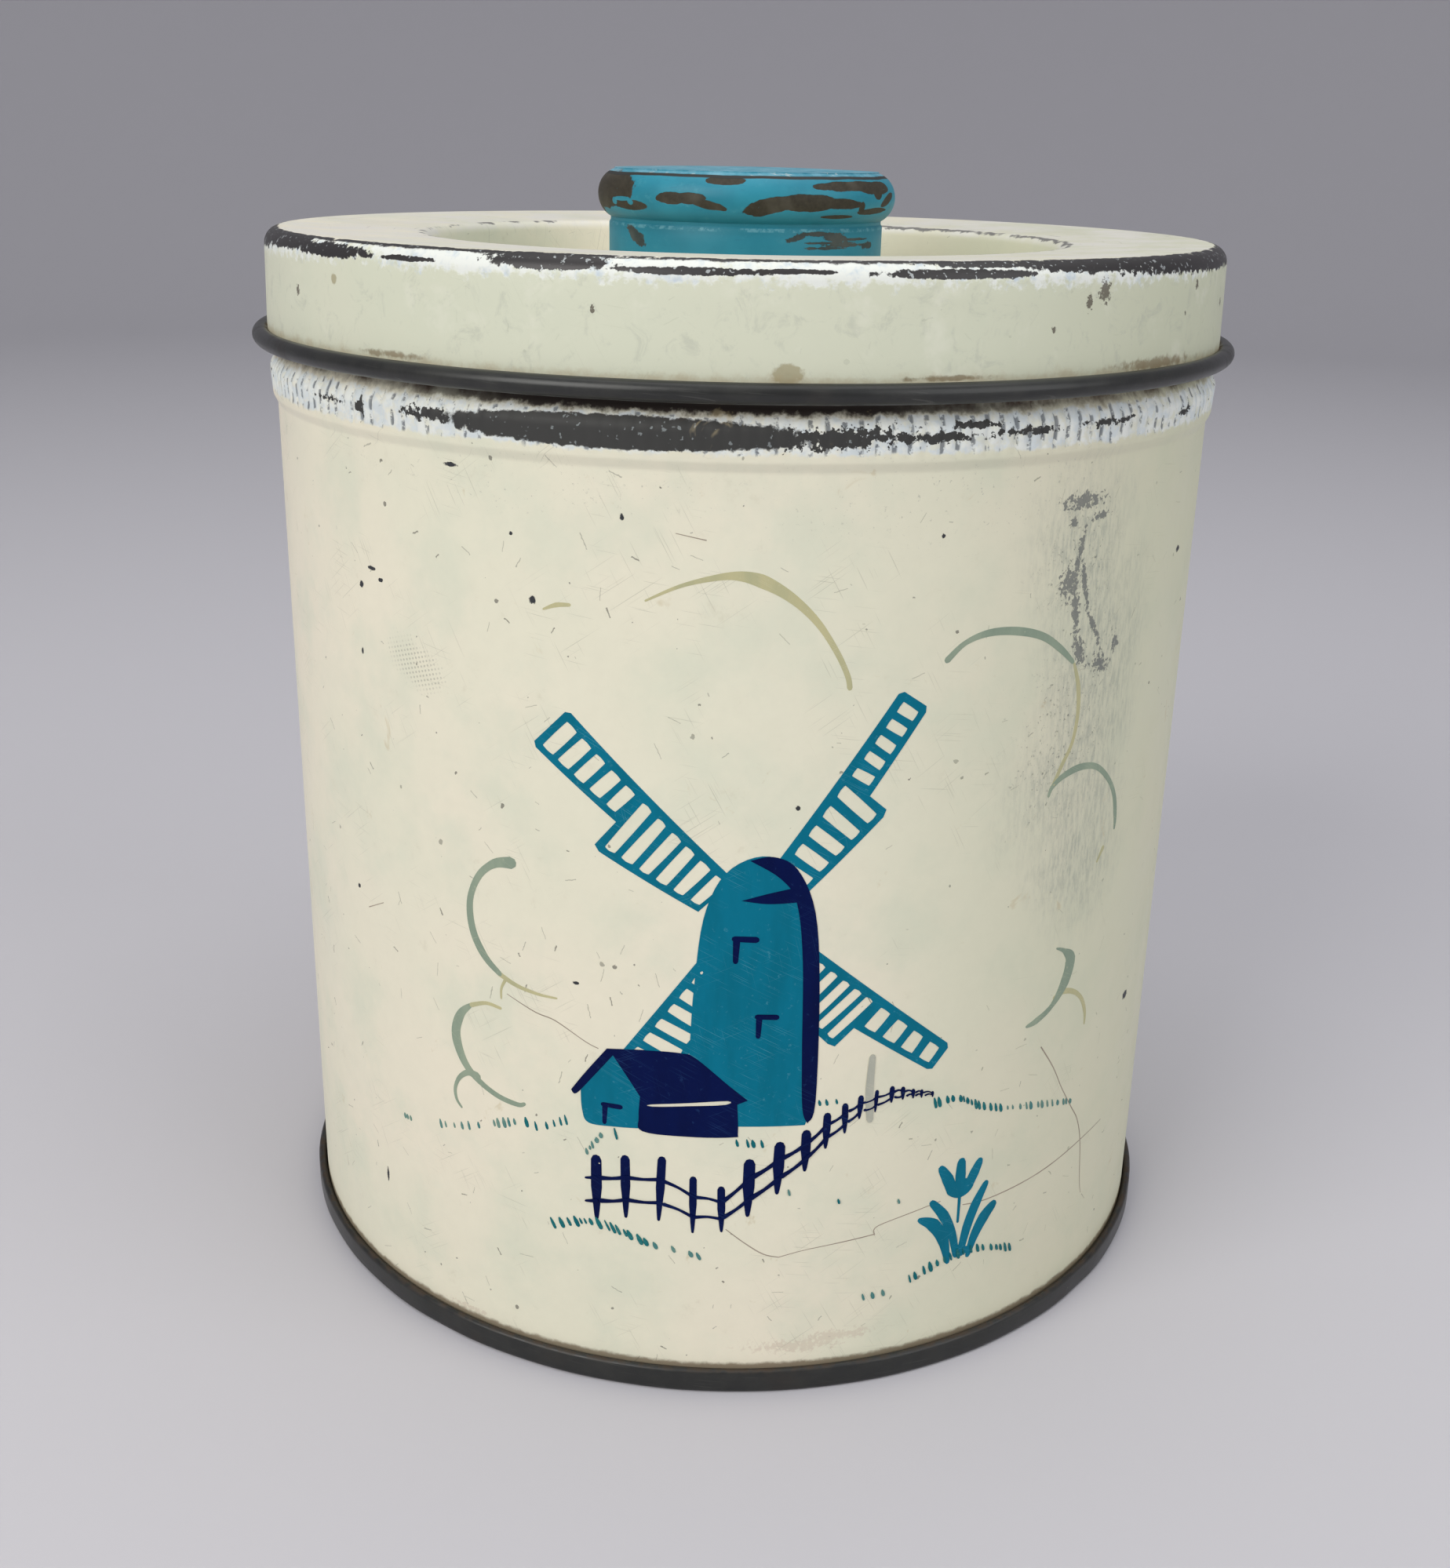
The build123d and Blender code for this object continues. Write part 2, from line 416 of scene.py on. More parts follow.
def side_shade_and_wear(coat):
    """The right side is painted darker and greener as painted shade, and is rubbed grey by whatever stood
    next to it.
    """
    # Painted shade: the right side goes darker and greener towards its edge.
    coat.lay(coat.across.fade(0, 84, 0.0, 0.65), screen(198, 200, 168))
    rubbed = coat.patches([(56, 136, 8, 12), (61, 116, 10, 20), (58, 100, 11, 12), (61, 86, 9, 10)], 8,
                          0.9, 0.8)
    drawn_down = coat.vector("MULTIPLY", coat.flat, (1.0, 0.22, 1.0))
    streaks = coat.noise(0.8, 4.0, 0.75, drawn_down).fade(0.40, 0.66, 0.25, 1.0)
    haze = streaks * rubbed * 0.54
    coat.lay(haze, screen(140, 148, 138), 0.6)
    pecked = coat.noise(0.6, 4.0, 0.75).fade(0.60, 0.66)
    rough_zone = coat.patches([(55, 136, 7, 9), (60, 121, 6, 9), (55, 108, 9, 12)], 4, 1.2, 0.8)
    coat.lay(pecked * rough_zone * 0.75, screen(92, 96, 92), 0.65, level=-0.2)
    bruises = coat.patches([(52.8, 132, 1.8, 2.0), (54.4, 136, 0.5, 3.2, 0.2),
                            (54.6, 127.5, 0.7, 3.2, -0.1), (56.2, 131.5, 0.5, 3.6, -0.3),
                            (56.2, 121.4, 1.0, 2.2, -0.4), (61.8, 118.2, 1.8, 1.3, -0.8),
                            (59.2, 124.5, 0.5, 3.4, -0.6), (65.4, 121.0, 0.8, 1.0),
                            (58.5, 141.5, 1.6, 0.5, 0.8), (52.4, 141, 0.6, 0.7), (54.5, 144, 3.4, 1.0)],
                           0.7, 2.6, 0.2)
    coat.lay(bruises * 0.8, screen(98, 102, 102), 0.55, level=-0.2)


def hand_wear(coat):
    """Grey speckle shows where a hand steadies the canister below the bead."""
    peppered = coat.noise(0.7, 4.0, 0.8).fade(0.62, 0.67)
    under_bead = coat.patches([(36, 146, 27, 5.5), (-30, 147, 30, 3.2)], 5, 1.0, 0.9)
    coat.lay(peppered * under_bead * 0.45, screen(120, 122, 116), 0.6, level=-0.1)


def bead_wear_and_shade(coat):
    """The knurled bead is rubbed to the primer, and across the front to the metal, with painted shade in
    its hollows and under the lid's edge.
    """
    beat = coat.calc("COSINE", coat.turn * knurl_count)
    shaken = coat.noise(2.4, 4.0, 0.65) * 2.6 - 1.3
    bead_rub = coat.height + shaken
    on_bead = bead_rub.band(knurl_foot, knurl_foot + 0.7, knurl_top - 0.9, knurl_top - 0.3)
    bluish = coat.noise(3.0, 3.0, 0.6).fade(0.42, 0.6)
    primed = coat.noise(2.2, 4.0, 0.7).fade(0.36, 0.52, 0.45, 1.0)
    coat.lay(on_bead * primed, coat.mixed(bluish * 0.55, primer, primer_blue), 0.5)
    # The knurl hollows carry broken dark marks, partly dirt and partly painted shade in the hollows.
    hollows = beat.fade(0.25, 0.9)
    marks = hollows * coat.noise(1.8, 3.0, 0.7).fade(0.48, 0.56) * on_bead
    coat.lay(marks * 0.75, screen(76, 82, 90), 0.5, 0.2, level=-0.3)
    nibbled = beat * 0.03
    solid_wear = coat.patch((-17, 155.1, 27, 2.3), nibbled + coat.noise(1.5, 4.0, 0.7) * 0.5 - 0.25, 0.05)
    broken_wear = coat.patches([(13, 155.0, 8, 1.3), (26, 154.9, 7, 0.6), (33, 156.4, 4, 0.4),
                                (42, 155.2, 5, 0.5), (-60.5, 154.6, 0.9, 1.3), (-46, 155.4, 4, 0.8),
                                (-69, 155.2, 3, 0.4), (57, 155.4, 4, 0.5), (80, 154.8, 2, 0.6),
                                (140, 155.2, 26, 1.4), (196, 155.0, 14, 1.7), (-150, 155.3, 24, 1.2),
                                (-112, 155.1, 9, 0.8)], 1.2, 2.4, 0.10)
    wear = coat.calc("MAXIMUM", solid_wear, broken_wear)
    flecks = coat.noise(0.9, 2.0).fade(0.66, 0.70) * 0.6
    dark_iron = coat.mixed(flecks, screen(58, 58, 56), screen(150, 158, 158))
    coat.lay(wear, dark_iron, 0.6, 0.15, level=-0.5)
    # Under the lid's rolled edge lie rust and dirt with painted shade, darkest across the front, and a
    # little rust along the base seam
    above = bead_rub.fade(157.0, 159.4)
    coat.lay(above * coat.noise(5.0, 4.0, 0.7).fade(0.3, 0.62), screen(84, 66, 52), 0.65)
    # Painted shade with dirt: a dark line just under the rolled edge, only across the front.
    dirt_and_shade_line = bead_rub.fade(157.6, 158.4)
    middle = coat.calc("ABSOLUTE", coat.round + 6.0).fade(22, 62, 1.0, 0.0)
    coat.lay(dirt_and_shade_line * middle, screen(44, 36, 30), 0.7)
    foot = (coat.height + shaken * 0.5).fade(4.3, 5.1, 0.8, 0.0)
    coat.lay(foot, screen(112, 92, 66), 0.65)
    specks = coat.patches([(12, 7.8, 6, 0.9), (19, 9.0, 5, 0.8), (-45, 5.4, 3, 0.5)], 0.8, 2.6, 0.5)
    coat.lay(specks * 0.3, screen(186, 160, 142), 0.6)


def nicks(coat):
    """Short dark nicks and pin flecks lie everywhere, with a few tan tea stains."""
    coat.lay(coat.dots(6.0, 0.8, 0.4) * 0.7, screen(70, 66, 58), 0.6)
    coat.lay(coat.ticks(12.0, 2.6, 0.16, 0.35) * 0.45, screen(96, 92, 82), 0.6)
    tea = coat.noise(7.0, 4.0, 0.7, twist=0.5).fade(0.66, 0.74, 0.0, 0.4)
    coat.lay(tea, screen(196, 180, 140), 0.5)


def single_chips(coat):
    """Single chips go down to the metal, and a fine mesh has left its print."""
    chips = coat.patches([(-16.2, 143.4, 0.32, 0.5), (-29.7, 130.5, 0.5, 0.6), (-61, 130.7, 0.9, 0.3),
                          (-58.8, 129.2, 0.5, 0.3), (-63.8, 127.6, 0.5, 0.5), (-64.5, 117, 0.25, 0.5),
                          (9.6, 101.7, 0.35, 0.35), (-23.5, 71.3, 0.5, 0.25), (-43, 148.5, 1.2, 0.3),
                          (-69.5, 75.8, 0.4, 0.4), (87, 132, 0.8, 0.5), (84, 53.2, 1.1, 0.7),
                          (29.3, 141, 0.3, 0.3), (-33, 139.8, 0.25, 0.3), (-65, 23, 0.3, 1.4),
                          (120, 88, 0.7, 0.5), (-120, 61, 0.8, 0.6), (210, 120, 1.0, 0.6),
                          (-190, 34, 0.6, 0.9), (160, 26, 0.9, 0.5)], 0.6, 0.8, 0.15)
    coat.lay(chips, screen(52, 54, 58), 0.5, 0.2, level=-0.6)
    tilted = coat.add("ShaderNodeMapping", {"Vector": coat.flat, "Rotation": (0, 0, 0.5)})
    grid = coat.parts(tilted.outputs[0])
    net = coat.calc("SINE", grid[0] * 6.3) * coat.calc("SINE", grid[1] * 6.3)
    printed = net.fade(0.3, 0.6) * coat.patches([(-51.5, 117.5, 4.6, 3.4, -0.6)], 1.5, 0.8, 0.4)
    coat.lay(printed * 0.4, screen(120, 116, 104), 0.6)


wall_enamel = enamel("wall_enamel")
for wear in (side_shade_and_wear, hand_wear, bead_wear_and_shade, nicks, single_chips):
    wear(wall_enamel)
body_wall.data.materials.append(wall_enamel.done(0.7, 0.35))

raw_tin = Finish("inside_tin", screen(150, 146, 136), 0.42, 0.85)
raw_tin.lay(raw_tin.noise(14, 4.0, 0.6).fade(0.4, 0.75, 0.0, 0.7), screen(104, 98, 86), 0.55)
raw_tin.lay(raw_tin.noise(4, 5.0, 0.7).fade(0.66, 0.74, 0.0, 0.6), rust, 0.75, 0.1)
raw_tin.level = raw_tin.noise(1.5, 4.0)
body_wall.data.materials.append(raw_tin.done(0.25, 0.1))
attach(body_wall, "canister")
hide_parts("body_wall")

# ------------------------------------------------------------------ the base
# The bottom is a pressed plate. Its edge is rolled together with the foot of the wall into a
# double seam, left as dark oiled steel, and two rings are pressed into the floor to stiffen it.
seam_outer = -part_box("base_plate")[0].x / MM - sheet / 2
seam_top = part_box("base_plate")[1].z / MM - sheet / 2
cover_hook = base_hook - 0.55
chuck_wall = wall_radius - sheet - 0.02 - sheet / 2
base_floor = 4.0
base_corners = [
    (0, base_floor),
    (40, base_floor),
    (43, base_floor - 0.8),
    (62, base_floor - 0.8),
    (65, base_floor),
    (chuck_wall, base_floor),
    (chuck_wall, sheet / 2),
    (seam_outer, sheet / 2),
    (seam_outer, seam_top),
    (cover_hook, seam_top),
    (cover_hook, 1.6),
]
base_line = folded_line(base_corners, (2, 2, 2, 2, 0.6, 0.6, 0.6, 0.5, 0.5), steps=4)
base_outline = both_faces(divided(base_line, lambda height: 8.0))
base_outline[0].x = base_outline[-1].x = 0.0


def dented_seam(angle, height, place):
    """The seam was rolled a little unevenly, and has a few knocks from being set down."""
    out = -0.05 - 0.03 * math.sin(11 * angle) - 0.03 * math.sin(29 * angle + 1.0)
    for where, depth, half_width in ((-0.62, 0.16, 0.035), (0.9, 0.12, 0.05), (2.2, 0.18, 0.04)):
        away = math.remainder(angle - where, 2 * math.pi) / half_width
        out -= depth * math.exp(-away * away)
    return out if base_outline[place].x > seam_outer - 0.3 else 0.0


base_plate = turned("base_plate_steel", base_outline, 360, dented_seam, closed=False)


def oiled_steel(name):
    """Tinplate gone dark: grey-black with soft wear, brown in the hollows and fine scratches."""
    coat = Finish(name, screen(40, 41, 40), 0.33, 0.25, gloss=0.5)
    coat.lay(coat.noise(5, 5.0, 0.65).fade(0.38, 0.7, 0.0, 0.6), screen(54, 54, 51), 0.42)
    coat.lay(coat.noise(11, 4.0, 0.6).fade(0.5, 0.75, 0.0, 0.5), screen(44, 38, 32), 0.6, 0.1)
    coat.lay(coat.scratches(4, 7, 0.12, 0.25) * 0.25, screen(104, 104, 100), 0.35)
    coat.lay(coat.dots(2.2, 0.5, 0.10) * 0.6, screen(132, 132, 126), 0.4)
    coat.level = coat.noise(1.2, 4.0, 0.6) * 0.5
    return coat


seam_steel = oiled_steel("seam_steel")
in_crack = seam_steel.height.fade(seam_top - 0.4, seam_top + 0.5)
rusty = seam_steel.noise(2.5, 4.0, 0.7).fade(0.42, 0.6)
seam_steel.lay(in_crack * rusty, screen(66, 50, 34), 0.8, 0.1)
under = seam_steel.noise(9, 5.0, 0.7).fade(0.5, 0.66)
floor_rust = under * seam_steel.radius.fade(76, 79, 1.0, 0.0)
seam_steel.lay(floor_rust * 0.7, screen(108, 76, 50), 0.8, 0.1)
base_plate.data.materials.append(seam_steel.done(0.3, 0.15))
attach(base_plate, "canister")
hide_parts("base_plate")

# ------------------------------------------------------------------ the painted front
# A generic Dutch landscape, stencilled and brushed on the front in thick decorator's enamel: teal
# first, then navy over it, and thin grey-green for the clouds. The films lie on the wall.
hand = random.Random(12)
film_sunk = 0.02                  # how far a film reaches into the wall's own enamel
film_thickness = 0.05
film_step = 0.003                 # each brush mark lies this much higher than the one before
facet = 1.5                       # longest flat stretch of a film round the wall


def curved(points, corners=(), closed=True, steps=5):
    """A smooth line through points, with sharp corners at the points whose numbers are given."""
    points = [Vector(point) for point in points]
    count = len(points)
    sharp = {corner % count for corner in corners}
    if not closed:
        sharp |= {0, count - 1}
    line = []
    for place in range(count if closed else count - 1):
        start, end = points[place], points[(place + 1) % count]
        before = start if place in sharp else points[place - 1]
        after = end if (place + 1) % count in sharp else points[(place + 2) % count]
        for step in range(steps):
            t = step / steps
            pull_out = (end - before) * 0.5
            pull_in = (after - start) * 0.5
            line.append(
                start * (2 * t**3 - 3 * t**2 + 1)
                + pull_out * (t**3 - 2 * t**2 + t)
                + end * (-2 * t**3 + 3 * t**2)
                + pull_in * (t**3 - t**2)
            )
    return line if closed else line + [points[-1]]


def stroke(points, widths, steps=5):
    """A brush mark along a smooth line. Its widths are spread evenly from its start to its end."""
    line = curved(points, closed=False, steps=steps) if len(points) > 2 else [
        Vector(points[0]).lerp(Vector(points[1]), share / 6) for share in range(7)]
    left, right = [], []
    last = len(line) - 1
    for place, point in enumerate(line):
        along = (line[min(place + 1, last)] - line[max(place - 1, 0)]).normalized()
        across = Vector((-along.y, along.x))
        spot = place / last * (len(widths) - 1)
        low = min(int(spot), len(widths) - 2)
        half = (widths[low] + (widths[low + 1] - widths[low]) * (spot - low)) / 2
        left.append(point + across * half)
        right.append(point - across * half)
        if place == 0:
            cap = [point + half * (across * math.cos(a) - along * math.sin(a)) for a in (2.2, 1.57, 0.9)]
            left = cap + left
        if place == last:
            left += [point + half * (across * math.cos(a) + along * math.sin(a)) for a in (0.9, 1.57, 2.2)]
    return left + right[::-1]


def wrapped(name, shapes, coat, height=film_thickness):
    """Films of paint on the wall. A shape is an outline, or a list of an outline and its holes."""
    films = bmesh.new()
    for number, shape in enumerate(shapes):
        loops = shape if isinstance(shape[0], list) else [shape]
        flat = bpy.data.curves.new(name, "CURVE")
        flat.dimensions = "2D"
        flat.fill_mode = "BOTH"
        flat.extrude = 1.0
        for loop in loops:
            spline = flat.splines.new("POLY")
            spline.points.add(len(loop) - 1)
            for point, place in zip(spline.points, loop):
                point.co = (place[0], place[1], 0.0, 1.0)
            spline.use_cyclic_u = True
        holder = bpy.data.objects.new(name, flat)
        slab = bpy.data.meshes.new_from_object(holder)
        bpy.data.objects.remove(holder)
        bpy.data.curves.remove(flat)
        film = bmesh.new()
        film.from_mesh(slab)
        bmesh.ops.remove_doubles(film, verts=film.verts, dist=1e-4)
        sides = [vert.co.x for vert in film.verts]
        for cut in range(math.ceil(min(sides) / facet), math.floor(max(sides) / facet) + 1):
            parts = film.verts[:] + film.edges[:] + film.faces[:]
            bmesh.ops.bisect_plane(
                film, geom=parts, dist=1e-4, plane_co=(cut * facet, 0, 0), plane_no=(1, 0, 0))
        top = height + number * film_step
        for vert in film.verts:
            radius = wall_radius + (top if vert.co.z > 0 else -film_sunk)
            vert.co = round_wall(vert.co.x / wall_radius, radius, vert.co.y)
        film.to_mesh(slab)
        film.free()
        films.from_mesh(slab)
        bpy.data.meshes.remove(slab)
    piece = as_object(name, films, sharp=30)
    piece.data.materials.append(coat)
    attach(piece, "canister")
    return piece


def decorator_paint(name, colour, worn, thin):
    """Brushed enamel, a little uneven in tone, with hair scratches that let the ivory through."""
    coat = Finish(name, colour, 0.42, gloss=0.08)
    drawn_out = coat.vector("MULTIPLY", coat.flat, (1.0, 0.25, 1.0))
    coat.lay(coat.noise(5.0, 4.0, 0.6, drawn_out).fade(0.35, 0.7, 0.0, 0.7), worn)
    coat.lay(coat.noise(0.9, 3.0, 0.6).fade(0.62, 0.75, 0.0, 0.35), thin)
    hair_marks = ((28, 0.10, 0.30, 0.45), (-24, 0.12, 0.26, 0.35), (75, 0.10, 0.24, 0.3))
    for angle, width, share, strength in hair_marks:
        mark = coat.scratches(angle, 9, width, share)
        broken = mark * coat.noise(9).fade(0.46, 0.6)
        coat.lay(broken * strength, thin, 0.5)
    coat.lay(coat.dots(5.0, 0.5, 0.2) * 0.8, ivory, 0.45)
    coat.roughness = coat.noise(7, 3.0).fade(0.3, 0.7, 0.34, 0.48)
    coat.level = coat.noise(1.2, 3.0, 0.5, drawn_out)
    return coat


teal = decorator_paint("teal_enamel", screen(4, 112, 138), screen(2, 100, 122), screen(88, 156, 172))
navy = decorator_paint("navy_enamel", screen(0, 16, 68), screen(0, 10, 56), screen(40, 70, 118))
teal_paint = teal.done(0.25, 0.05)
navy_paint = navy.done(0.25, 0.05)

# The sails: each is a spar with a narrow lattice out to the tip and a wider one near the tower
spar, hem = 1.35, 1.05


def lattice(near, far, count, bar):
    """Slots between two rails, from near (spar, hem) to far (spar, hem), with bars between them."""
    slots = []
    for number in range(count):
        ends = []
        for rail in (0, 1):
            start, end = Vector(near[rail]), Vector(far[rail])
            first = (number + bar / 2 + hand.uniform(-0.05, 0.05)) / count
            last = (number + 1 - bar / 2 + hand.uniform(-0.05, 0.05)) / count
            ends.append((start.lerp(end, first), start.lerp(end, last)))
        (top_left, top_right), (low_left, low_right) = ends
        corners = [top_left, top_right, low_right, low_left]
        slots.append(curved([corners[side].lerp(corners[(side + 1) % 4],
                                                share) for side in range(4) for share in (0.12, 0.88)],
                            corners=(), steps=2))
    return slots


def sail(root, tip, side, widths, step, counts, bar):
    """A lattice sail from root to tip along its spar. Widths are at the tip, outside the step,
    inside the step and at the root, and step is how far the step is along the spar."""
    root, tip = Vector(root), Vector(tip)
    along = (tip - root).normalized()
    across = Vector((along.y, -along.x)) * side
    length = (tip - root).length
    tip_width, outside, inside, root_width = widths
    at_step = root + along * length * step
    outline = [
        root, tip - along * 0.7, tip + across * 0.6, tip + across * (tip_width - 0.5),
        tip + across * tip_width - along * 0.8,
        at_step + across * outside, at_step - along * 0.4 + across * (inside - 0.3),
        at_step - along * 1.6 + across * inside, root + across * root_width,
    ]
    edge = at_step + along * 0.5
    slots = lattice((edge + across * spar, edge + across * (outside - hem)),
                    (tip - along * 0.7 + across * spar, tip - along * 0.7 + across * (tip_width - hem)),
                    counts[0], bar)
    slots += lattice((root + across * spar, root + across * (root_width - hem)),
                     (edge - along * 0.4 + across * spar, edge - along * 1.6 + across * (inside - hem)),
                     counts[1], bar)
    return [outline, *slots]


sails = [
    sail((0.5, 90.4), (-24.4, 114.9), -1, (8.2, 6.6, 12.0, 7.4), 0.52, (5, 6), 0.38),
    sail((5.8, 91.8), (24.2, 119.0), 1, (5.4, 5.6, 9.4, 6.6), 0.53, (5, 5), 0.45),
    sail((-3.4, 78.8), (-18.6, 57.4), -1, (7.2, 7.0, 9.0, 6.4), 0.96, (1, 8), 0.40),
    sail((12.0, 79.9), (36.2, 59.8), 1, (5.2, 6.4, 10.8, 9.4), 0.48, (4, 6), 0.40),
]
wrapped("windmill_sails", sails, teal_paint)

# The tower: one domed shape in teal, shaded navy down its far side and under its cap
tower = curved([(1.4, 49.0), (1.4, 54.4), (-5.9, 57.6), (-5.6, 64), (-5.2, 72), (-3.9, 84), (-0.8, 91.3),
                (4.6, 94.2), (9.7, 92.0), (12.7, 85), (13.8, 72), (13.9, 53), (12.4, 49.0)],
               corners=(0, 1, 2, 11, 12))
wrapped("windmill_tower", [tower], teal_paint, 0.058)
shade = curved(
    [(2.8, 93.5), (6.2, 94.1), (9.8, 92.1), (12.75, 85), (13.85, 72), (13.95, 53), (12.8, 49.3),
     (11.9, 52), (11.5, 62), (11.1, 77), (9.9, 86.6), (7.4, 90.6)],
    corners=(0, 6))
cap_edge = curved([(1.7, 87.1), (5.6, 86.6), (10.2, 86.8), (9.3, 89.1), (5.4, 88.2)], corners=(0, 2, 3))


def hooked_mark(across, up, size):
    """A window or a door: an upright with a short lintel, as one turn of the brush."""
    upright = stroke([(across, up - 3.6 * size), (across + 0.1, up)], (0.8 * size, 1.1 * size))
    lintel = stroke([(across - 0.2, up + 0.1), (across + 3.0 * size, up)], (0.9 * size, 1.0 * size))
    return [upright, lintel]


windows = hooked_mark(1.0, 80.8, 1.0) + hooked_mark(4.7, 67.9, 0.9)
wrapped("windmill_shading", [shade, cap_edge, *windows], navy_paint, 0.085)

# The cottage in front of it: a teal gable with a door, and a navy roof and side wall
gable = curved([(-17.6, 60.4), (-13.2, 54.2), (-12.6, 47.7), (-17.2, 47.4), (-21.6, 47.4), (-22.7, 49.6),
                (-22.9, 53.6)], corners=(0, 1, 2, 6))
wrapped("cottage_gable", [gable], teal_paint, 0.082)
roof = curved([(-24.5, 52.8), (-23.6, 52.3), (-20.6, 56.0), (-17.6, 59.9), (-15.4, 56.6), (-13.3, 53.3),
               (-13.5, 49.6), (-12.9, 47.2), (-6.0, 46.9), (1.2, 47.1), (2.0, 47.9), (1.8, 52.9),
               (3.4, 53.6), (0.4, 56.2), (-4.6, 60.6), (-7.0, 61.4), (-13.0, 61.4), (-18.6, 60.9),
               (-22.0, 56.4)], corners=(0, 3, 5, 11, 12, 17))
gap_under_eaves = curved([(-11.6, 52.1), (-5.4, 52.9), (0.3, 53.5), (0.1, 52.8), (-5.4, 52.3),
                          (-11.4, 51.7)], steps=3)
wrapped("cottage_roof", [[roof, gap_under_eaves], *hooked_mark(-19.0, 51.0, 0.85)],
        navy_paint, 0.10)

# The fence: posts as (across, middle, half height, width), which get smaller into the distance
posts = (
    (-20.4, 36.0, 5.8, 1.75), (-15.6, 36.9, 5.6, 1.5), (-10.0, 37.2, 5.8, 1.35), (-4.8, 34.7, 5.1, 1.15),
    (-0.3, 34.1, 4.1, 1.2), (3.9, 38.1, 5.1, 1.8), (8.5, 41.6, 4.6, 1.7), (12.7, 44.5, 3.6, 1.5),
    (15.9, 47.8, 3.1, 1.2), (18.8, 49.7, 2.6, 1.0), (21.2, 51.4, 2.0, 0.9), (23.8, 52.1, 1.9, 0.6),
    (26.4, 52.9, 1.4, 0.8), (28.3, 52.8, 1.1, 0.7), (30.1, 52.4, 0.8, 0.6), (31.6, 52.1, 0.7, 0.5),
    (33.6, 51.6, 0.5, 0.4),
)
upper_rail, lower_rail = 0.28, -0.45
fence = []
for across, middle, half, width in posts:
    lean = hand.uniform(-0.25, 0.25) * half / 5
    fence.append(stroke([(across - lean, middle + half - width / 2), (across, middle),
                         (across + lean, middle - half)], (width, width * 1.05, width * 0.35)))
for share, weight in ((upper_rail, 0.42), (lower_rail, 0.38)):
    for (start, level, half, width), (end, next_level, next_half, next_width) in zip(posts, posts[1:]):
        begin = Vector((start, level + share * half))
        finish = Vector((end, next_level + share * next_half))
        begin += (finish - begin).normalized() * hand.uniform(0.2, 0.9)
        middle = begin.lerp(finish, 0.5) + Vector((0, 0.25 if finish.y < begin.y else -0.15))
        thick = weight * (width + next_width) / 2
        fence.append(stroke([begin, middle, finish], (thick * 1.3, thick * 0.8, thick * 1.1)))
    across, middle, half, width = posts[0]
    fence.append(stroke([(across - 1.8, middle + share * half - 0.3), (across, middle + share * half)],
                        (0.3, 0.7)))
wrapped("picket_fence", fence, navy_paint, 0.05)

# The tulip: three petals and a cup on a stem, over four leaves that part like a fan
leaves = [
    stroke([(32.9, 28.4), (35.4, 26.9), (37.5, 23.6), (38.7, 18.9)], (1.0, 2.3, 2.1, 0.9)),
    stroke([(35.0, 31.1), (37.3, 28.2), (39.2, 24.2), (40.3, 19.8)], (1.2, 1.9, 1.6, 1.2)),
    stroke([(45.5, 31.9), (43.7, 28.6), (42.2, 24.6), (41.2, 19.8)], (1.2, 2.0, 1.9, 1.3)),
    stroke([(47.4, 27.2), (45.6, 25.4), (43.9, 22.4), (42.8, 19.0)], (1.7, 2.4, 1.9, 1.0)),
    stroke([(39.4, 22.4), (40.8, 20.2), (42.2, 20.2)], (0.9, 1.9, 1.4)),
]
petals = [curved([(37.6, 32.4), (38.9, 31.2), (40.3, 30.8), (41.9, 31.3), (42.9, 32.6), (42.2, 34.0),
                  (38.3, 34.0)]), stroke([(38.5, 32.9), (37.6, 35.0), (36.3, 37.2)], (2.0, 2.1, 1.3)),
          stroke([(40.2, 32.6), (40.1, 35.2), (40.1, 37.5)], (1.9, 2.0, 1.6)),
          stroke([(41.9, 32.8), (42.9, 34.8), (43.8, 36.6)], (1.9, 2.0, 1.4))]
stem = stroke([(40.2, 31.4), (40.2, 26.2)], (0.6, 0.45))
wrapped("tulip", leaves + petals + [stem], teal_paint)


def grass(points, spacing, length=1.3, lean=0.25):
    """A row of short brush dabs along a line, each leaning and sized a little differently."""
    dabs = []
    line = curved(points, closed=False, steps=12) if len(points) > 2 else [Vector(p) for p in points]
    walked, next_dab = 0.0, 0.0
    for start, end in zip(line, line[1:]):
        while next_dab <= walked + (end - start).length:
            spot = start.lerp(end, (next_dab - walked) / (end - start).length)
            tall = length * hand.uniform(0.55, 1.3)
            wide = hand.uniform(0.3, 0.75)
            tip = spot + Vector((-lean * tall, tall)) * 0.5
            low = spot - Vector((-lean * tall, tall)) * 0.5
            dabs.append(stroke([low, spot, tip], (wide * 0.9, wide, wide * 0.4), steps=3))
            next_dab += spacing * hand.uniform(0.6, 1.5)
        walked += (end - start).length
    return dabs


grass_teal = decorator_paint("grass_teal", screen(16, 100, 108), screen(40, 118, 118),
                             screen(120, 160, 150))
near_grass = (
    grass([(-32.5, 45.1), (-30, 44.9), (-26, 46.9), (-23.6, 47.9)], 1.6)
    + grass([(1.9, 46.1), (7, 45.9)], 1.2, 1.0)
    + grass([(14.6, 52.8), (17.4, 52.8)], 1.2, 1.0)
    + grass([(34.2, 49.9), (38.5, 49.8), (43, 47.3), (48, 45.4)], 1.15)
    + grass([(-28, 27.6), (-20.5, 29.4), (-12, 27.0)], 1.15, 1.3, 0.5)
    + grass([(31.6, 17.6), (37, 19.4), (44, 19.9), (52.4, 17.1)], 1.3)
    + grass([(-17.2, 46.2), (-16.6, 46.0)], 2.0, 1.7)
    + grass([(18.4, 34.7), (18.9, 34.4)], 2.0, 1.0)
)
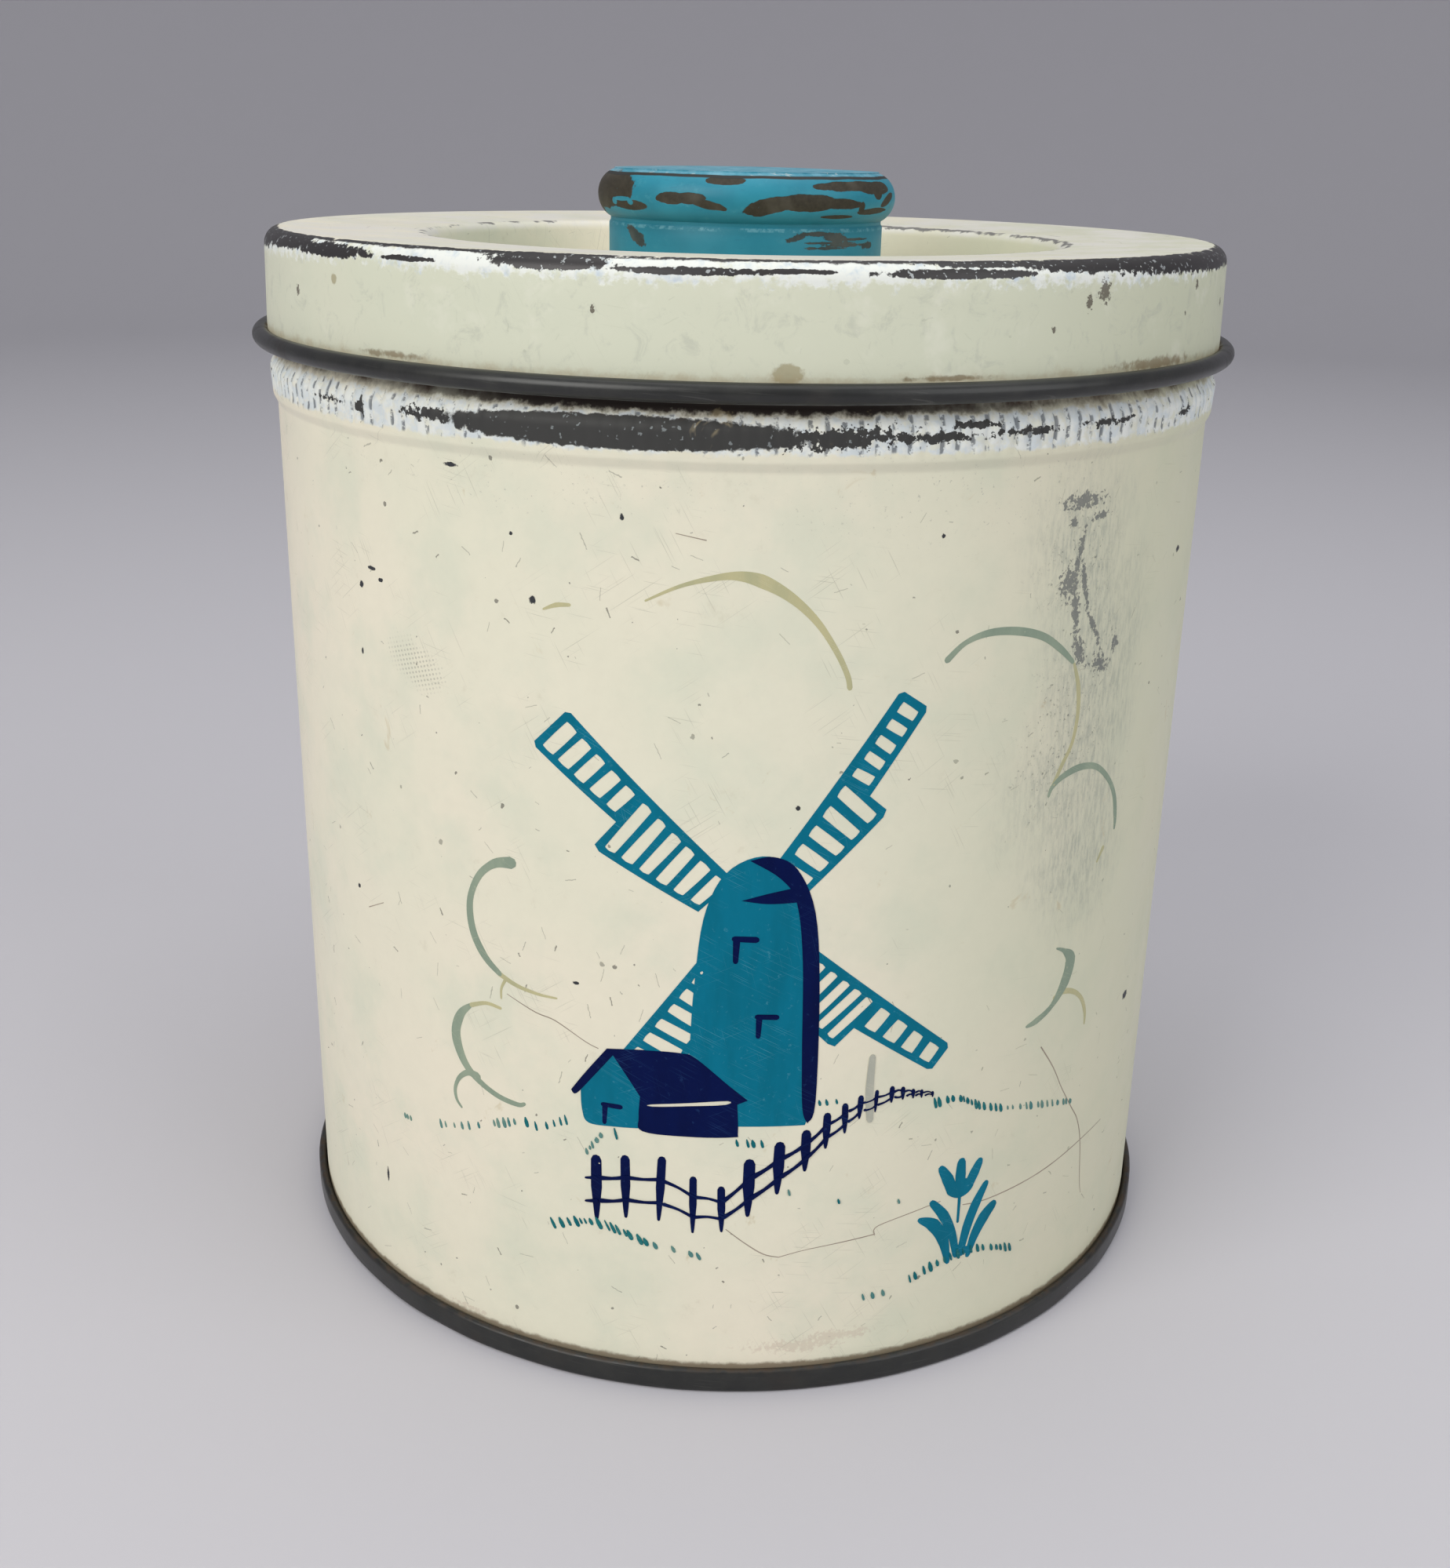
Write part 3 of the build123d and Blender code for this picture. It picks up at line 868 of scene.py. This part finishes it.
far_grass = (
    grass([(-50, 39.3), (-46.5, 40.2), (-41, 42.1)], 1.5, 1.0)
    + grass([(-59, 37.3), (-57.3, 37.4)], 0.8, 0.6)
    + grass([(-38.6, 43.2), (-34.4, 44.7)], 1.3, 1.1)
    + grass([(49, 45.1), (56.5, 43.2), (66, 40.3)], 1.35, 1.0)
    + grass([(-10.8, 26.6), (-7.2, 26.1), (-3.1, 25.0)], 2.1, 0.9, 0.5)
    + grass([(23.4, 15.8), (26, 15.9), (29, 16.2)], 1.7, 0.8)
    + grass([(-22, 42.2), (-19.6, 45.6)], 1.1, 0.8)
    + grass([(10.3, 37.0), (10.9, 36.6)], 2.0, 0.7)
    + grass([(28.7, 33.0), (29.2, 32.9)], 2.0, 0.6)
)
faded = decorator_paint("faded_teal", screen(66, 124, 124), screen(140, 160, 140), screen(190, 194, 172))
wrapped("grass_near", near_grass, grass_teal.done(0.25, 0.05), 0.03)
wrapped("grass_far", far_grass, faded.done(0.25, 0.05), 0.03)

# The clouds: loose curls with a nearly dry brush, grey-green where wet and tan where it ran out
full_clouds = [
    stroke([(31.2, 122.9), (34, 125.2), (38, 126.3), (43, 126), (48, 124.6), (52, 122.1), (55, 119.6)],
           (1.0, 0.8, 1.1, 1.3, 1.2, 1.1, 0.7)),
    stroke([(52.2, 98.6), (52.8, 99.9), (55, 101.2), (59, 101.9), (63.5, 101), (67.5, 98), (70, 94.5),
            (71.1, 90.5), (71.2, 88.5)], (0.5, 0.9, 1.2, 1.0, 0.9, 1.1, 0.5)),
    stroke([(-34.3, 89.3), (-37.2, 88.6), (-40, 86.2), (-41.8, 82.5), (-42.1, 79), (-41.3, 75.5),
            (-39.3, 72.3), (-36.8, 70.2)], (2.0, 1.2, 1.1, 1.3, 1.4, 0.9)),
    stroke([(-42.6, 63.2), (-44.6, 61.2), (-45.8, 58), (-45.4, 55), (-43.8, 52), (-41, 49.8), (-37.5, 48.3),
            (-34, 47.8), (-32.8, 48.2)], (0.7, 1.7, 1.9, 1.4, 1.0, 0.9, 0.6)),
    stroke([(-41.8, 50.7), (-43.5, 50.9), (-45.4, 49.4), (-46.4, 47.2), (-46.2, 45.2), (-45.2, 44)],
           (1.6, 1.0, 0.7, 0.6, 0.4)),
    stroke([(57.5, 71.3), (59.5, 70.3), (61.4, 68.2), (60.4, 64.4), (57.5, 61), (54, 59.4), (51.8, 59)],
           (0.3, 0.8, 2.6, 2.4, 1.0, 1.2, 0.5)),
]
thin_clouds = [
    stroke([(-12.8, 131.9), (-8, 134.2), (-3, 135.6), (0.5, 135.9), (4, 135), (8, 132.6), (11.5, 129.2),
            (14.3, 125), (16, 121.5), (16.4, 119.7)], (0.3, 0.6, 1.1, 2.0, 1.3, 0.9, 0.8, 0.8)),
    stroke([(-28, 129.4), (-26, 130.2), (-24, 130.4)], (0.3, 0.7, 0.5)),
    stroke([(55.4, 119.2), (56.8, 115.5), (57.3, 111), (56.6, 106.5), (54.5, 103), (52.3, 99)],
           (0.5, 0.9, 0.8, 0.7, 0.8, 0.6)),
    stroke([(-36.9, 70.2), (-33.8, 68.9), (-30, 68.2), (-26.8, 68.1)], (0.9, 0.7, 0.5, 0.3)),
    stroke([(-35.6, 69.6), (-36.5, 67.8), (-36.6, 66)], (0.6, 0.4, 0.3)),
    stroke([(-36.8, 64.2), (-39.5, 64.4), (-42.4, 63.3)], (0.5, 0.6, 0.8)),
    stroke([(58, 62.3), (60.5, 62.7), (63.5, 61.6), (66, 59.4), (67.4, 56.5), (67.6, 54.3)],
           (0.7, 1.0, 0.8, 0.8, 0.4)),
    stroke([(68, 86), (66.5, 84)], (0.8, 0.4)),
]
cloud_wet = decorator_paint("cloud_grey_green", screen(136, 152, 134), screen(158, 170, 148),
                            screen(186, 190, 164))
cloud_dry = decorator_paint("cloud_tan", screen(192, 186, 144), screen(168, 170, 136),
                            screen(208, 204, 174))
wrapped("clouds", full_clouds, cloud_wet.done(0.3, 0.05), 0.03)
wrapped("clouds_thin", thin_clouds, cloud_dry.done(0.3, 0.05), 0.025)

# Hair cracks and one long scratch have filled with dirt across all of it
cracks = [stroke([(-35.5, 67), (-30.5, 65), (-27, 64.2), (-22, 61.5), (-20, 60.7)],
                 (0.12, 0.2, 0.16, 0.14)), stroke([(0.5, 30.3), (3.5, 27.8), (6.5, 25.7), (9, 25)],
                                                  (0.14, 0.22, 0.16)),
          stroke([(9, 25), (14, 26.2), (24.8, 27.5)], (0.16, 0.12, 0.2)),
          stroke([(24.8, 27.4), (25.4, 29), (33, 30.6), (36.5, 31.1)], (0.2, 0.14, 0.12)),
          stroke([(41, 29.2), (46, 28.7), (58, 29.3), (70, 30.7), (78, 31.2)], (0.14, 0.2, 0.2, 0.1)),
          stroke([(55.8, 54), (59.5, 49), (62.5, 44), (66, 39), (68.5, 35.5), (70.3, 30.5), (71.6, 22),
                  (72.5, 19)], (0.25, 0.16, 0.2, 0.2, 0.1)),
          stroke([(-8.6, 141.6), (-4.4, 140.8)], (0.1, 0.14)),
          stroke([(-66.6, 73.0), (-62.2, 75.2)], (0.16, 0.1))]
crack_dirt = decorator_paint("crack_dirt", screen(150, 138, 124), screen(176, 164, 148),
                             screen(196, 188, 170))
wrapped("hair_cracks", cracks, crack_dirt.done(), 0.012)
scrape = [stroke([(22.8, 59.9), (22.6, 54.2), (22.9, 48.9)], (1.0, 1.3, 1.1))]
scrape_mark = decorator_paint("scrape_grey", screen(168, 170, 158), screen(196, 194, 176),
                              screen(214, 210, 190))
wrapped("scrape", scrape, scrape_mark.done(0.4, 0.05), 0.11)

# ------------------------------------------------------------------ the lid
# One pressed sheet: a round well for the knob, a ring that falls a little towards it, a deep skirt
# and an edge rolled outwards. It is enamelled like the wall, with the edge dark and the inside bare.
skirt_top, skirt_foot = 80.375, 80.775
curl_radius = 1.275
curl_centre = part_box("lid")[0].z / MM + curl_radius + sheet / 2
lid_depth = 17.0                  # from the top to the middle of the rolled edge
lid_top = curl_centre + lid_depth
lid_middle = lid_top - sheet / 2
ring_fall = 1.0
well_radius = 54.0
well_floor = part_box("knob")[0].z / MM
screw_hole = 2.3
lid_corners = [
    (screw_hole, well_floor - sheet / 2),
    (well_radius - 1.7, well_floor - sheet / 2),
    (well_radius, lid_middle - ring_fall),
    (skirt_top, lid_middle),
    (skirt_foot, curl_centre + 2),
    (skirt_foot, curl_centre),
]
lid_line = folded_line(lid_corners, (3.0, 1.8, 2.5, 5.0), steps=8)
lid_line += arc_points((skirt_foot + curl_radius, curl_centre), curl_radius, 180, 325, 22)
lid_line = divided(lid_line, lambda height: 4.0)
lid_outline = both_faces(lid_line)
lid_outer_faces = len(lid_line)


def handled_lid(angle, height, place):
    """The skirt is a hair out of true, with two shallow knocks, as thin sheet is after years."""
    radius = lid_outline[place].x
    if radius < well_radius + 8:
        return 0.0
    low = 1 - eased(height, curl_centre + 1, lid_top - 3)
    out = 0.05 * math.sin(3 * angle + 0.6) * low
    for where, level, depth, half_width in ((0.34, 169.5, 0.10, 0.09), (-2.5, 168.0, 0.14, 0.11)):
        away = math.remainder(angle - where, 2 * math.pi) / half_width
        out -= depth * math.exp(-away * away - ((height - level) / 4.5) ** 2)
    return out


def lid_coat(place):
    """Enamel outside, bare tin inside, and dark steel on the rolled edge."""
    point = lid_outline[place]
    if point.y < curl_centre + 1.6 and point.x > skirt_foot - 0.4 and not (
            place >= lid_outer_faces and point.x < skirt_foot):
        return 2
    return 0 if place < lid_outer_faces - 1 else 1


lid_coats = [lid_coat(place) for place in range(len(lid_outline))]
lid = turned("lid_tin", lid_outline, 432, handled_lid, lid_coats)


def skirt_tone_and_shade(coat):
    """The skirt is cooler than the wall, with smears and pale patches, and the lid is painted darker and
    greener on the right as painted shade.
    """
    on_skirt = coat.radius.fade(79.0, 80.2)
    coat.lay(on_skirt * 0.8, screen(208, 212, 190))
    # Painted shade: the right side of the lid goes darker and greener towards its edge.
    coat.lay(coat.across.fade(0, 84, 0.0, 0.6), screen(194, 198, 168))
    smears = coat.noise(4.0, 5.0, 0.75, twist=0.6).fade(0.52, 0.70, 0.0, 0.35)
    coat.lay(smears * on_skirt, screen(170, 174, 160), 0.5)
    pale = coat.noise(9.0, 4.0, 0.65).fade(0.55, 0.72, 0.0, 0.45)
    coat.lay(pale * on_skirt, screen(226, 226, 208), 0.45)


def ring_tone_and_light(coat):
    """On top, the ring is warmer and paler, partly as painted light on the upward face, and scuffed grey
    round the well.
    """
    on_top = coat.radius.fade(78.6, 79.6, 1.0, 0.0) * coat.height.fade(175.6, 176.4)
    # The top face is painted paler, partly its own tone and partly painted light from above.
    top_tone_and_light = coat.noise(9.0, 4.0, 0.65).fade(0.36, 0.66, 0.15, 0.9)
    coat.lay(on_top * top_tone_and_light, screen(226, 223, 214), 0.42)
    well_edge = coat.radius + coat.noise(5, 4.0, 0.7) * 3.0 - 1.5
    near_edge = well_edge.band(54.3, 54.7, 55.2, 55.7)
    edge_breaks = (coat.noise(7.0, 3.0, 0.6) + coat.across.fade(-10, 30, 0.0, 0.12)).fade(0.48, 0.56)
    coat.lay(near_edge * on_top * edge_breaks, screen(122, 120, 116), 0.5)
    swirl = coat.joined(coat.turn * 3.2, coat.radius)
    rings = coat.noise(0.9, 2.0, 0.6, swirl).fade(0.64, 0.70) * coat.noise(12, 2.0).fade(0.5, 0.6)
    coat.lay(rings * on_top * 0.5, screen(150, 146, 138), 0.5, level=-0.1)


def corner_wear(coat):
    """The corner is worn through: a ragged pale fringe of primer, and dark metal inside it."""
    corner_place = coat.radius + coat.noise(2.5, 4.0, 0.7) * 1.6 - 0.8
    at_corner = corner_place.fade(78.7, 79.1)
    corner_height = 177.4
    fringe_spots = [(-108, corner_height, 56, 2.6), (-38, corner_height, 22, 2.4),
                    (-12, corner_height, 12, 2.5), (12, corner_height, 16, 2.6),
                    (58, corner_height, 40, 2.6), (140, corner_height, 46, 2.4),
                    (215, corner_height, 34, 2.9), (-190, corner_height, 36, 2.4)]
    fringe = coat.patches(fringe_spots, 1.5, 1.1, 0.28)
    primed = coat.mixed(coat.noise(2.2, 3.0, 0.6).fade(0.48, 0.75), primer, primer_blue)
    coat.lay(fringe * at_corner, primed, 0.5, level=-0.15)
    bare_spots = [(-118, 177.2, 37, 2.2), (-86, 177.1, 13, 1.4), (-68, 176.4, 10, 1.0),
                  (-50, 176.2, 5, 0.4), (-27, 177.0, 9, 1.2), (-7, 176.3, 10, 0.5), (7, 176.5, 5, 0.35),
                  (30, 176.3, 12, 0.65), (36, 177.6, 12, 0.6), (54, 177.2, 14, 1.1), (88, 177.0, 36, 1.7),
                  (126, 177.4, 24, 1.6), (168, 177.4, 16, 1.1), (212, 177.3, 28, 2.1),
                  (-205, 177.6, 22, 1.0), (-178, 177.5, 12, 1.6)]
    bare = coat.patches(bare_spots, 1.3, 0.75, 0.08) * at_corner
    top_line = corner_place.band(78.2, 78.5, 79.1, 79.4)
    line_breaks = coat.noise(5.0, 4.0, 0.7).fade(0.34, 0.42)
    bare = coat.calc("MAXIMUM", bare, top_line * line_breaks)
    specked = coat.noise(0.8, 2.0).fade(0.64, 0.69) * 0.7
    coat.lay(bare, coat.mixed(specked, screen(60, 58, 58), screen(190, 196, 196)), 0.42, 0.4, level=-0.5)


def skirt_stains(coat):
    """Chips and stains lie on the skirt, and rust where it meets the rolled edge."""
    skirt_chips = coat.patches([(-78, 170, 0.5, 0.7), (44.5, 168.7, 0.35, 0.4), (80, 173.5, 0.5, 0.6),
                                (54, 173.6, 1.0, 1.3), (51, 172.2, 0.5, 0.9), (76, 169.6, 0.25, 0.3),
                                (-20, 171.0, 0.25, 0.6), (96, 170, 0.6, 0.5), (-130, 168, 0.7, 0.5),
                                (150, 171, 0.5, 0.6), (232, 169, 0.8, 0.6)], 0.5, 2.0, 0.15)
    coat.lay(skirt_chips * 0.85, screen(84, 74, 62), 0.55, level=-0.4)
    stain = coat.patches([(6, 163.5, 2.1, 1.3), (-66, 172.5, 0.7, 0.7)], 1.0, 0.5, 0.2)
    coat.lay(stain * 0.75, screen(158, 148, 112), 0.5)
    low = coat.height - (coat.noise(3.0, 4.0, 0.7) * 4.0 - 2.0)
    coat.lay(low.fade(161.8, 163.6, 0.5, 0.0), screen(176, 158, 122), 0.6)
    streaks = coat.patches([(68, 162.9, 9, 0.7), (-52, 163.0, 6, 0.4), (28, 162.8, 5, 0.3),
                            (130, 163.0, 14, 0.8), (-140, 163.0, 18, 0.7)], 1.8, 1.8, 0.6)
    coat.lay(streaks * 0.7, screen(120, 98, 62), 0.7, level=-0.1)


lid_enamel = enamel("lid_enamel")
for wear in (skirt_tone_and_shade, ring_tone_and_light, corner_wear, skirt_stains):
    wear(lid_enamel)
lid.data.materials.append(lid_enamel.done(0.6, 0.3))

lid_inside = Finish("lid_inside_tin", screen(156, 152, 142), 0.4, 0.85)
lid_inside.lay(lid_inside.noise(13, 4.0, 0.6).fade(0.4, 0.75, 0.0, 0.7), screen(110, 104, 92), 0.55)
lid_inside.lay(lid_inside.noise(3.4, 5.0, 0.7).fade(0.63, 0.72, 0.0, 0.7), rust, 0.75, 0.1)
lid_inside.lay(lid_inside.scratches(20, 8, 0.14, 0.25) * 0.4, screen(196, 194, 188), 0.3)
lid_inside.level = lid_inside.noise(1.5, 4.0)
lid.data.materials.append(lid_inside.done(0.25, 0.1))

curl_steel = oiled_steel("curl_steel")
tucked = curl_steel.radius.fade(81.0, 81.6, 1.0, 0.0)
curl_steel.lay(tucked * curl_steel.noise(2.5, 4.0).fade(0.4, 0.6), screen(92, 66, 40), 0.8, 0.1)
lid.data.materials.append(curl_steel.done(0.3, 0.15))
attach(lid, "lid")
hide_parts("lid")

# ------------------------------------------------------------------ the knob
# Turned hardwood with a plain stem, a small neck and a full round grip, painted turquoise. The
# paint has worn off in patches where fingers pull. It stands in the well on its screw.
knob_foot, knob_top = well_floor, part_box("knob")[1].z / MM
grip_radius, grip_centre, grip_level = 4.2, 21.2, well_floor + 17.6
stem_radius, neck_radius, stem_top = 23.4, 23.15, well_floor + 13.0
top_edge = grip_centre + 1.3
screw_shank, screw_depth = 1.9, 14.65
knob_outline = [Vector((0, knob_foot + screw_depth)), Vector((screw_shank, knob_foot + screw_depth))]
knob_outline += [Vector((screw_shank, knob_foot)), Vector((stem_radius - 0.6, knob_foot))]
knob_outline += arc_points((stem_radius - 0.6, knob_foot + 0.6), 0.6, -90, 90, 4)
knob_outline += [Vector((stem_radius, stem_top - 0.1)), Vector((stem_radius - 0.06, stem_top + 0.08))]
knob_outline += [Vector((neck_radius, stem_top + 0.4))]
knob_outline += arc_points((grip_centre, grip_level), grip_radius, -62, 134, 22)
crown, crown_steps = 0.42, 8        # how much the top rises to its middle
for step in range(crown_steps + 1):
    out = 1 - step / crown_steps
    knob_outline.append(Vector((top_edge * out, knob_top - crown * out ** 2)))
knob_outline = divided(knob_outline, lambda height: 2.5)

# Paint has left these patches: (degrees round, height, half width, half height, lean)
worn_grip = [
    (-71, 184.4, 25.5, 3.0), (-84, 183.4, 12, 3.4), (-50, 182.3, 10, 0.9, -3.0),
    (-28, 183.5, 6.5, 0.95), (-21, 183.6, 6.5, 0.9), (-14, 182.7, 5.5, 0.9, -5.0),
    (22, 183.2, 14, 1.3), (9, 182.7, 8, 1.5, 3.5), (37, 183.1, 11, 0.8, -1.5),
    (46, 185.8, 21, 0.75, 2.0), (59, 185.5, 12, 1.0), (59, 184.6, 3, 0.9), (-8, 186.35, 7.6, 0.65),
    (68, 183.6, 4.5, 1.2, 4.0), (57, 181.9, 10, 0.55, 6.0), (48.5, 182.4, 1.6, 1.0), (37, 181.1, 8, 0.3),
    (110, 184.2, 16, 2.0), (150, 183.4, 12, 1.5), (166, 186.4, 14, 0.9), (-160, 184.2, 13, 2.2),
    (-128, 182.6, 10, 1.2), (-112, 186.0, 12, 1.0)]
worn_stem = [
    (-49.5, 177.2, 4, 1.5, -2.5), (-54, 178.4, 3, 0.3), (31, 178.4, 11, 0.35), (21, 177.9, 3, 0.7, 4.0),
    (39, 177.7, 6, 0.9, -4.0), (50, 177.5, 8, 0.2), (36, 177.0, 12, 0.2), (44, 176.6, 12, 0.3),
    (34, 176.2, 10, 0.25), (60, 176.4, 4, 0.6), (140, 176.0, 9, 1.1), (-150, 175.2, 7, 1.4)]
paint_left = [(-53.5, 183.1, 5.5, 0.38), (-48.5, 182.7, 1.8, 0.5), (-59, 182.7, 1.8, 0.6),
              (55, 183.2, 4, 0.7)]


def worn_back(angle, height, place):
    """The wood is rubbed a little lower where most of the paint has gone."""
    depth = 0.0
    turn = math.degrees(math.remainder(angle, 2 * math.pi))
    for across, level, half_width, half_height, *_ in worn_grip:
        sideways = math.remainder(turn - across, 360) / half_width
        upwards = (height - level) / half_height
        depth = max(depth, 0.12 * math.exp(-1.2 * (sideways ** 2 + upwards ** 2)))
    return -depth if height > grip_level - 4 and knob_outline[place].x > 20 else 0.0


knob = turned("knob_wood", knob_outline, 288, worn_back, closed=False)


def brushed_paint(coat):
    """The paint is uneven, with turning marks, and is darker in the neck as painted shade under the grip.
    """
    coat.lay(coat.noise(7, 4.0, 0.6).fade(0.35, 0.7, 0.0, 0.8), screen(34, 124, 146))
    coat.lay(coat.noise(2.2, 5.0, 0.7).fade(0.55, 0.75, 0.0, 0.4), screen(84, 160, 176))
    drawn_round = coat.joined(coat.turn * 5.0, coat.height, coat.radius)
    turning_marks = coat.noise(0.45, 2.0, 0.6, drawn_round)
    coat.lay(turning_marks.fade(0.62, 0.72, 0.0, 0.25), screen(34, 104, 128))
    # Painted shade under the overhanging grip darkens the neck.
    shade_under_grip = coat.height.band(177.6, 179.0, 180.0, 182.0)
    coat.lay(shade_under_grip * 0.5, screen(30, 104, 118), 0.5)
    coat.lay(coat.height.fade(stem_top - 0.8, stem_top, 0.4, 0.0), screen(32, 108, 126))
    # A pale broken line on the lip, partly worn paint and partly a painted highlight along its edge.
    lip_wear_and_highlight = coat.height.band(stem_top - 0.5, stem_top - 0.2, stem_top + 0.1, stem_top + 0.3)
    coat.lay(lip_wear_and_highlight * coat.noise(1.6, 4.0, 0.7).fade(0.45, 0.6) * 0.3, screen(146, 200, 212), 0.5)


def bare_wood_patches(coat):
    """The paint has worn away to dark wood, paler in patches of painted sheen, with a few flakes left."""
    grain = coat.noise(0.7, 4.0, 0.65, coat.vector("MULTIPLY", coat.place, (1.0, 0.12, 1.0)))
    bare_wood = coat.mixed(grain.fade(0.3, 0.72), screen(50, 46, 36), screen(62, 57, 46))
    # Paler patches on the bare wood are painted sheen.
    sheen_patches = coat.noise(6.0, 2.0, 0.5).fade(0.48, 0.7, 0.0, 0.6)
    bare_wood = coat.mixed(sheen_patches, bare_wood, screen(88, 84, 74))
    left_over = coat.patches(paint_left, 1.5, 0.35, 0.1)
    worn_paint = coat.patches(worn_grip, 3.0, 0.32, 0.03) * (1.0 - left_over)
    brushed_off = coat.patches(worn_stem, 1.4, 0.9, 0.12)
    worn_paint = coat.calc("MAXIMUM", worn_paint, brushed_off * 0.9)
    coat.lay(worn_paint, bare_wood, 0.58, level=-0.5)
    flakes = coat.noise(1.1, 3.0, 0.7).fade(0.70, 0.72)
    coat.lay(flakes * worn_paint * 0.8, screen(52, 128, 142), 0.5)


def rubbed_top(coat):
    """The top is rubbed paler, with a dark ring where its edge has worn through."""
    top_only = coat.height.fade(186.95, 187.15)
    coat.lay(top_only * coat.noise(4.0, 5.0, 0.7).fade(0.38, 0.66, 0.15, 0.8), screen(126, 178, 196), 0.45)
    scuffs = coat.noise(2.6, 4.0, 0.7, coat.vector("MULTIPLY", coat.place, (0.5, 1.6, 1.0))).fade(0.6, 0.66)
    coat.lay(scuffs * top_only * 0.7, screen(196, 204, 200), 0.5)
    edge_place = coat.radius + coat.noise(6, 3.0) * 0.5 - 0.25
    edge_ring = edge_place.band(23.25, 23.4, 23.85, 24.0) * coat.height.fade(186.0, 186.4)
    coat.lay(edge_ring, screen(44, 46, 44), 0.6, level=-0.3)


turquoise = Finish("turquoise_on_wood", screen(44, 138, 160), 0.46, gloss=0.3, girth=math.degrees(1))
for wear in (brushed_paint, bare_wood_patches, rubbed_top):
    wear(turquoise)
knob.data.materials.append(turquoise.done(0.5, 0.3))
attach(knob, "lid")
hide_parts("knob")

# ------------------------------------------------------------------ screw and washer
# A slotted round-head steel wood screw comes up through a plain washer and the well's floor into
# the knob. Both are plated, and have dulled and rusted a little inside the lid.
plating = {"knob_screw": (screen(150, 146, 136), 0.34), "screw_washer": (screen(136, 134, 128), 0.44)}
for node, (tone, shine) in plating.items():
    plated = Finish(node + "_steel", tone, shine, 0.9)
    plated.lay(plated.noise(3.0, 5.0, 0.7).fade(0.48, 0.66, 0.0, 0.8), screen(112, 84, 58), 0.7, 0.3)
    plated.lay(plated.noise(0.8, 3.0, 0.6).fade(0.6, 0.72, 0.0, 0.5), screen(84, 78, 70), 0.6)
    plated.lay(plated.scratches(35, 3, 0.08, 0.3) * 0.5, screen(200, 198, 190), 0.3)
    plated.level = plated.noise(0.6, 4.0)
    finished = plated.done(0.3, 0.08)
    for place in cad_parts[node].material_slots:
        place.material = finished

# ------------------------------------------------------------------ studio
# The canister stands on a pale grey cloth that curves up behind it, lit by a window on the left, a
# soft ceiling and a weaker fill on the right. The camera looks a little down at the front.
bpy.context.scene.view_settings.view_transform = "Standard"
floor_reach, cove_radius, cloth_top = 1600, 1000, 2600
floor_line = [Vector((0, 0)), Vector((floor_reach, 0))]
floor_line += arc_points((floor_reach, cove_radius), cove_radius, -90, 90, 24)
floor_line += [Vector((floor_reach + cove_radius, cloth_top))]
floor = turned("studio_floor", floor_line, 96, closed=False)
floor_cloth = Finish("studio_grey", screen(196, 194, 199), 0.9)
floor.data.materials.append(floor_cloth.done())

camera_place = Vector((0, -319.4, 192.5))
camera_tilt, camera_turn, camera_roll = 20.0, 0.27, 1.21
camera = bpy.data.objects.new("camera", bpy.data.cameras.new("camera"))
camera.data.sensor_width = 36.0
camera.data.lens = 40.65
camera.data.clip_start = 0.01
camera.matrix_world = (
    Matrix.Translation(camera_place * MM)
    @ Matrix.Rotation(math.radians(camera_turn), 4, "Z")
    @ Matrix.Rotation(math.radians(90 - camera_tilt), 4, "X")
    @ Matrix.Rotation(math.radians(camera_roll), 4, "Z")
)
bpy.context.scene.collection.objects.link(camera)
bpy.context.scene.camera = camera


def softbox(name, place, size, power, colour):
    """A square soft light that looks at the middle of the canister."""
    lamp = bpy.data.objects.new(name, bpy.data.lights.new(name, "AREA"))
    lamp.data.size = size
    lamp.data.energy = power
    lamp.data.color = colour
    lamp.location = place
    aim = Vector((0, 0, 0.09)) - Vector(place)
    lamp.rotation_euler = aim.to_track_quat("-Z", "Y").to_euler()
    bpy.context.scene.collection.objects.link(lamp)


softbox("window", (-0.75, -0.85, 0.75), 0.8, 10.4, (1.0, 0.99, 0.96))
softbox("ceiling", (0.1, 0.1, 1.4), 1.2, 6.2, (1.0, 1.0, 1.0))
softbox("fill", (0.9, -0.6, 0.6), 0.9, 4.8, (0.98, 0.99, 1.0))
world = bpy.data.worlds.new("room")
world.use_nodes = True
world.node_tree.nodes["Background"].inputs["Color"].default_value = (0.85, 0.87, 0.9, 1)
world.node_tree.nodes["Background"].inputs["Strength"].default_value = 0.58
bpy.context.scene.world = world
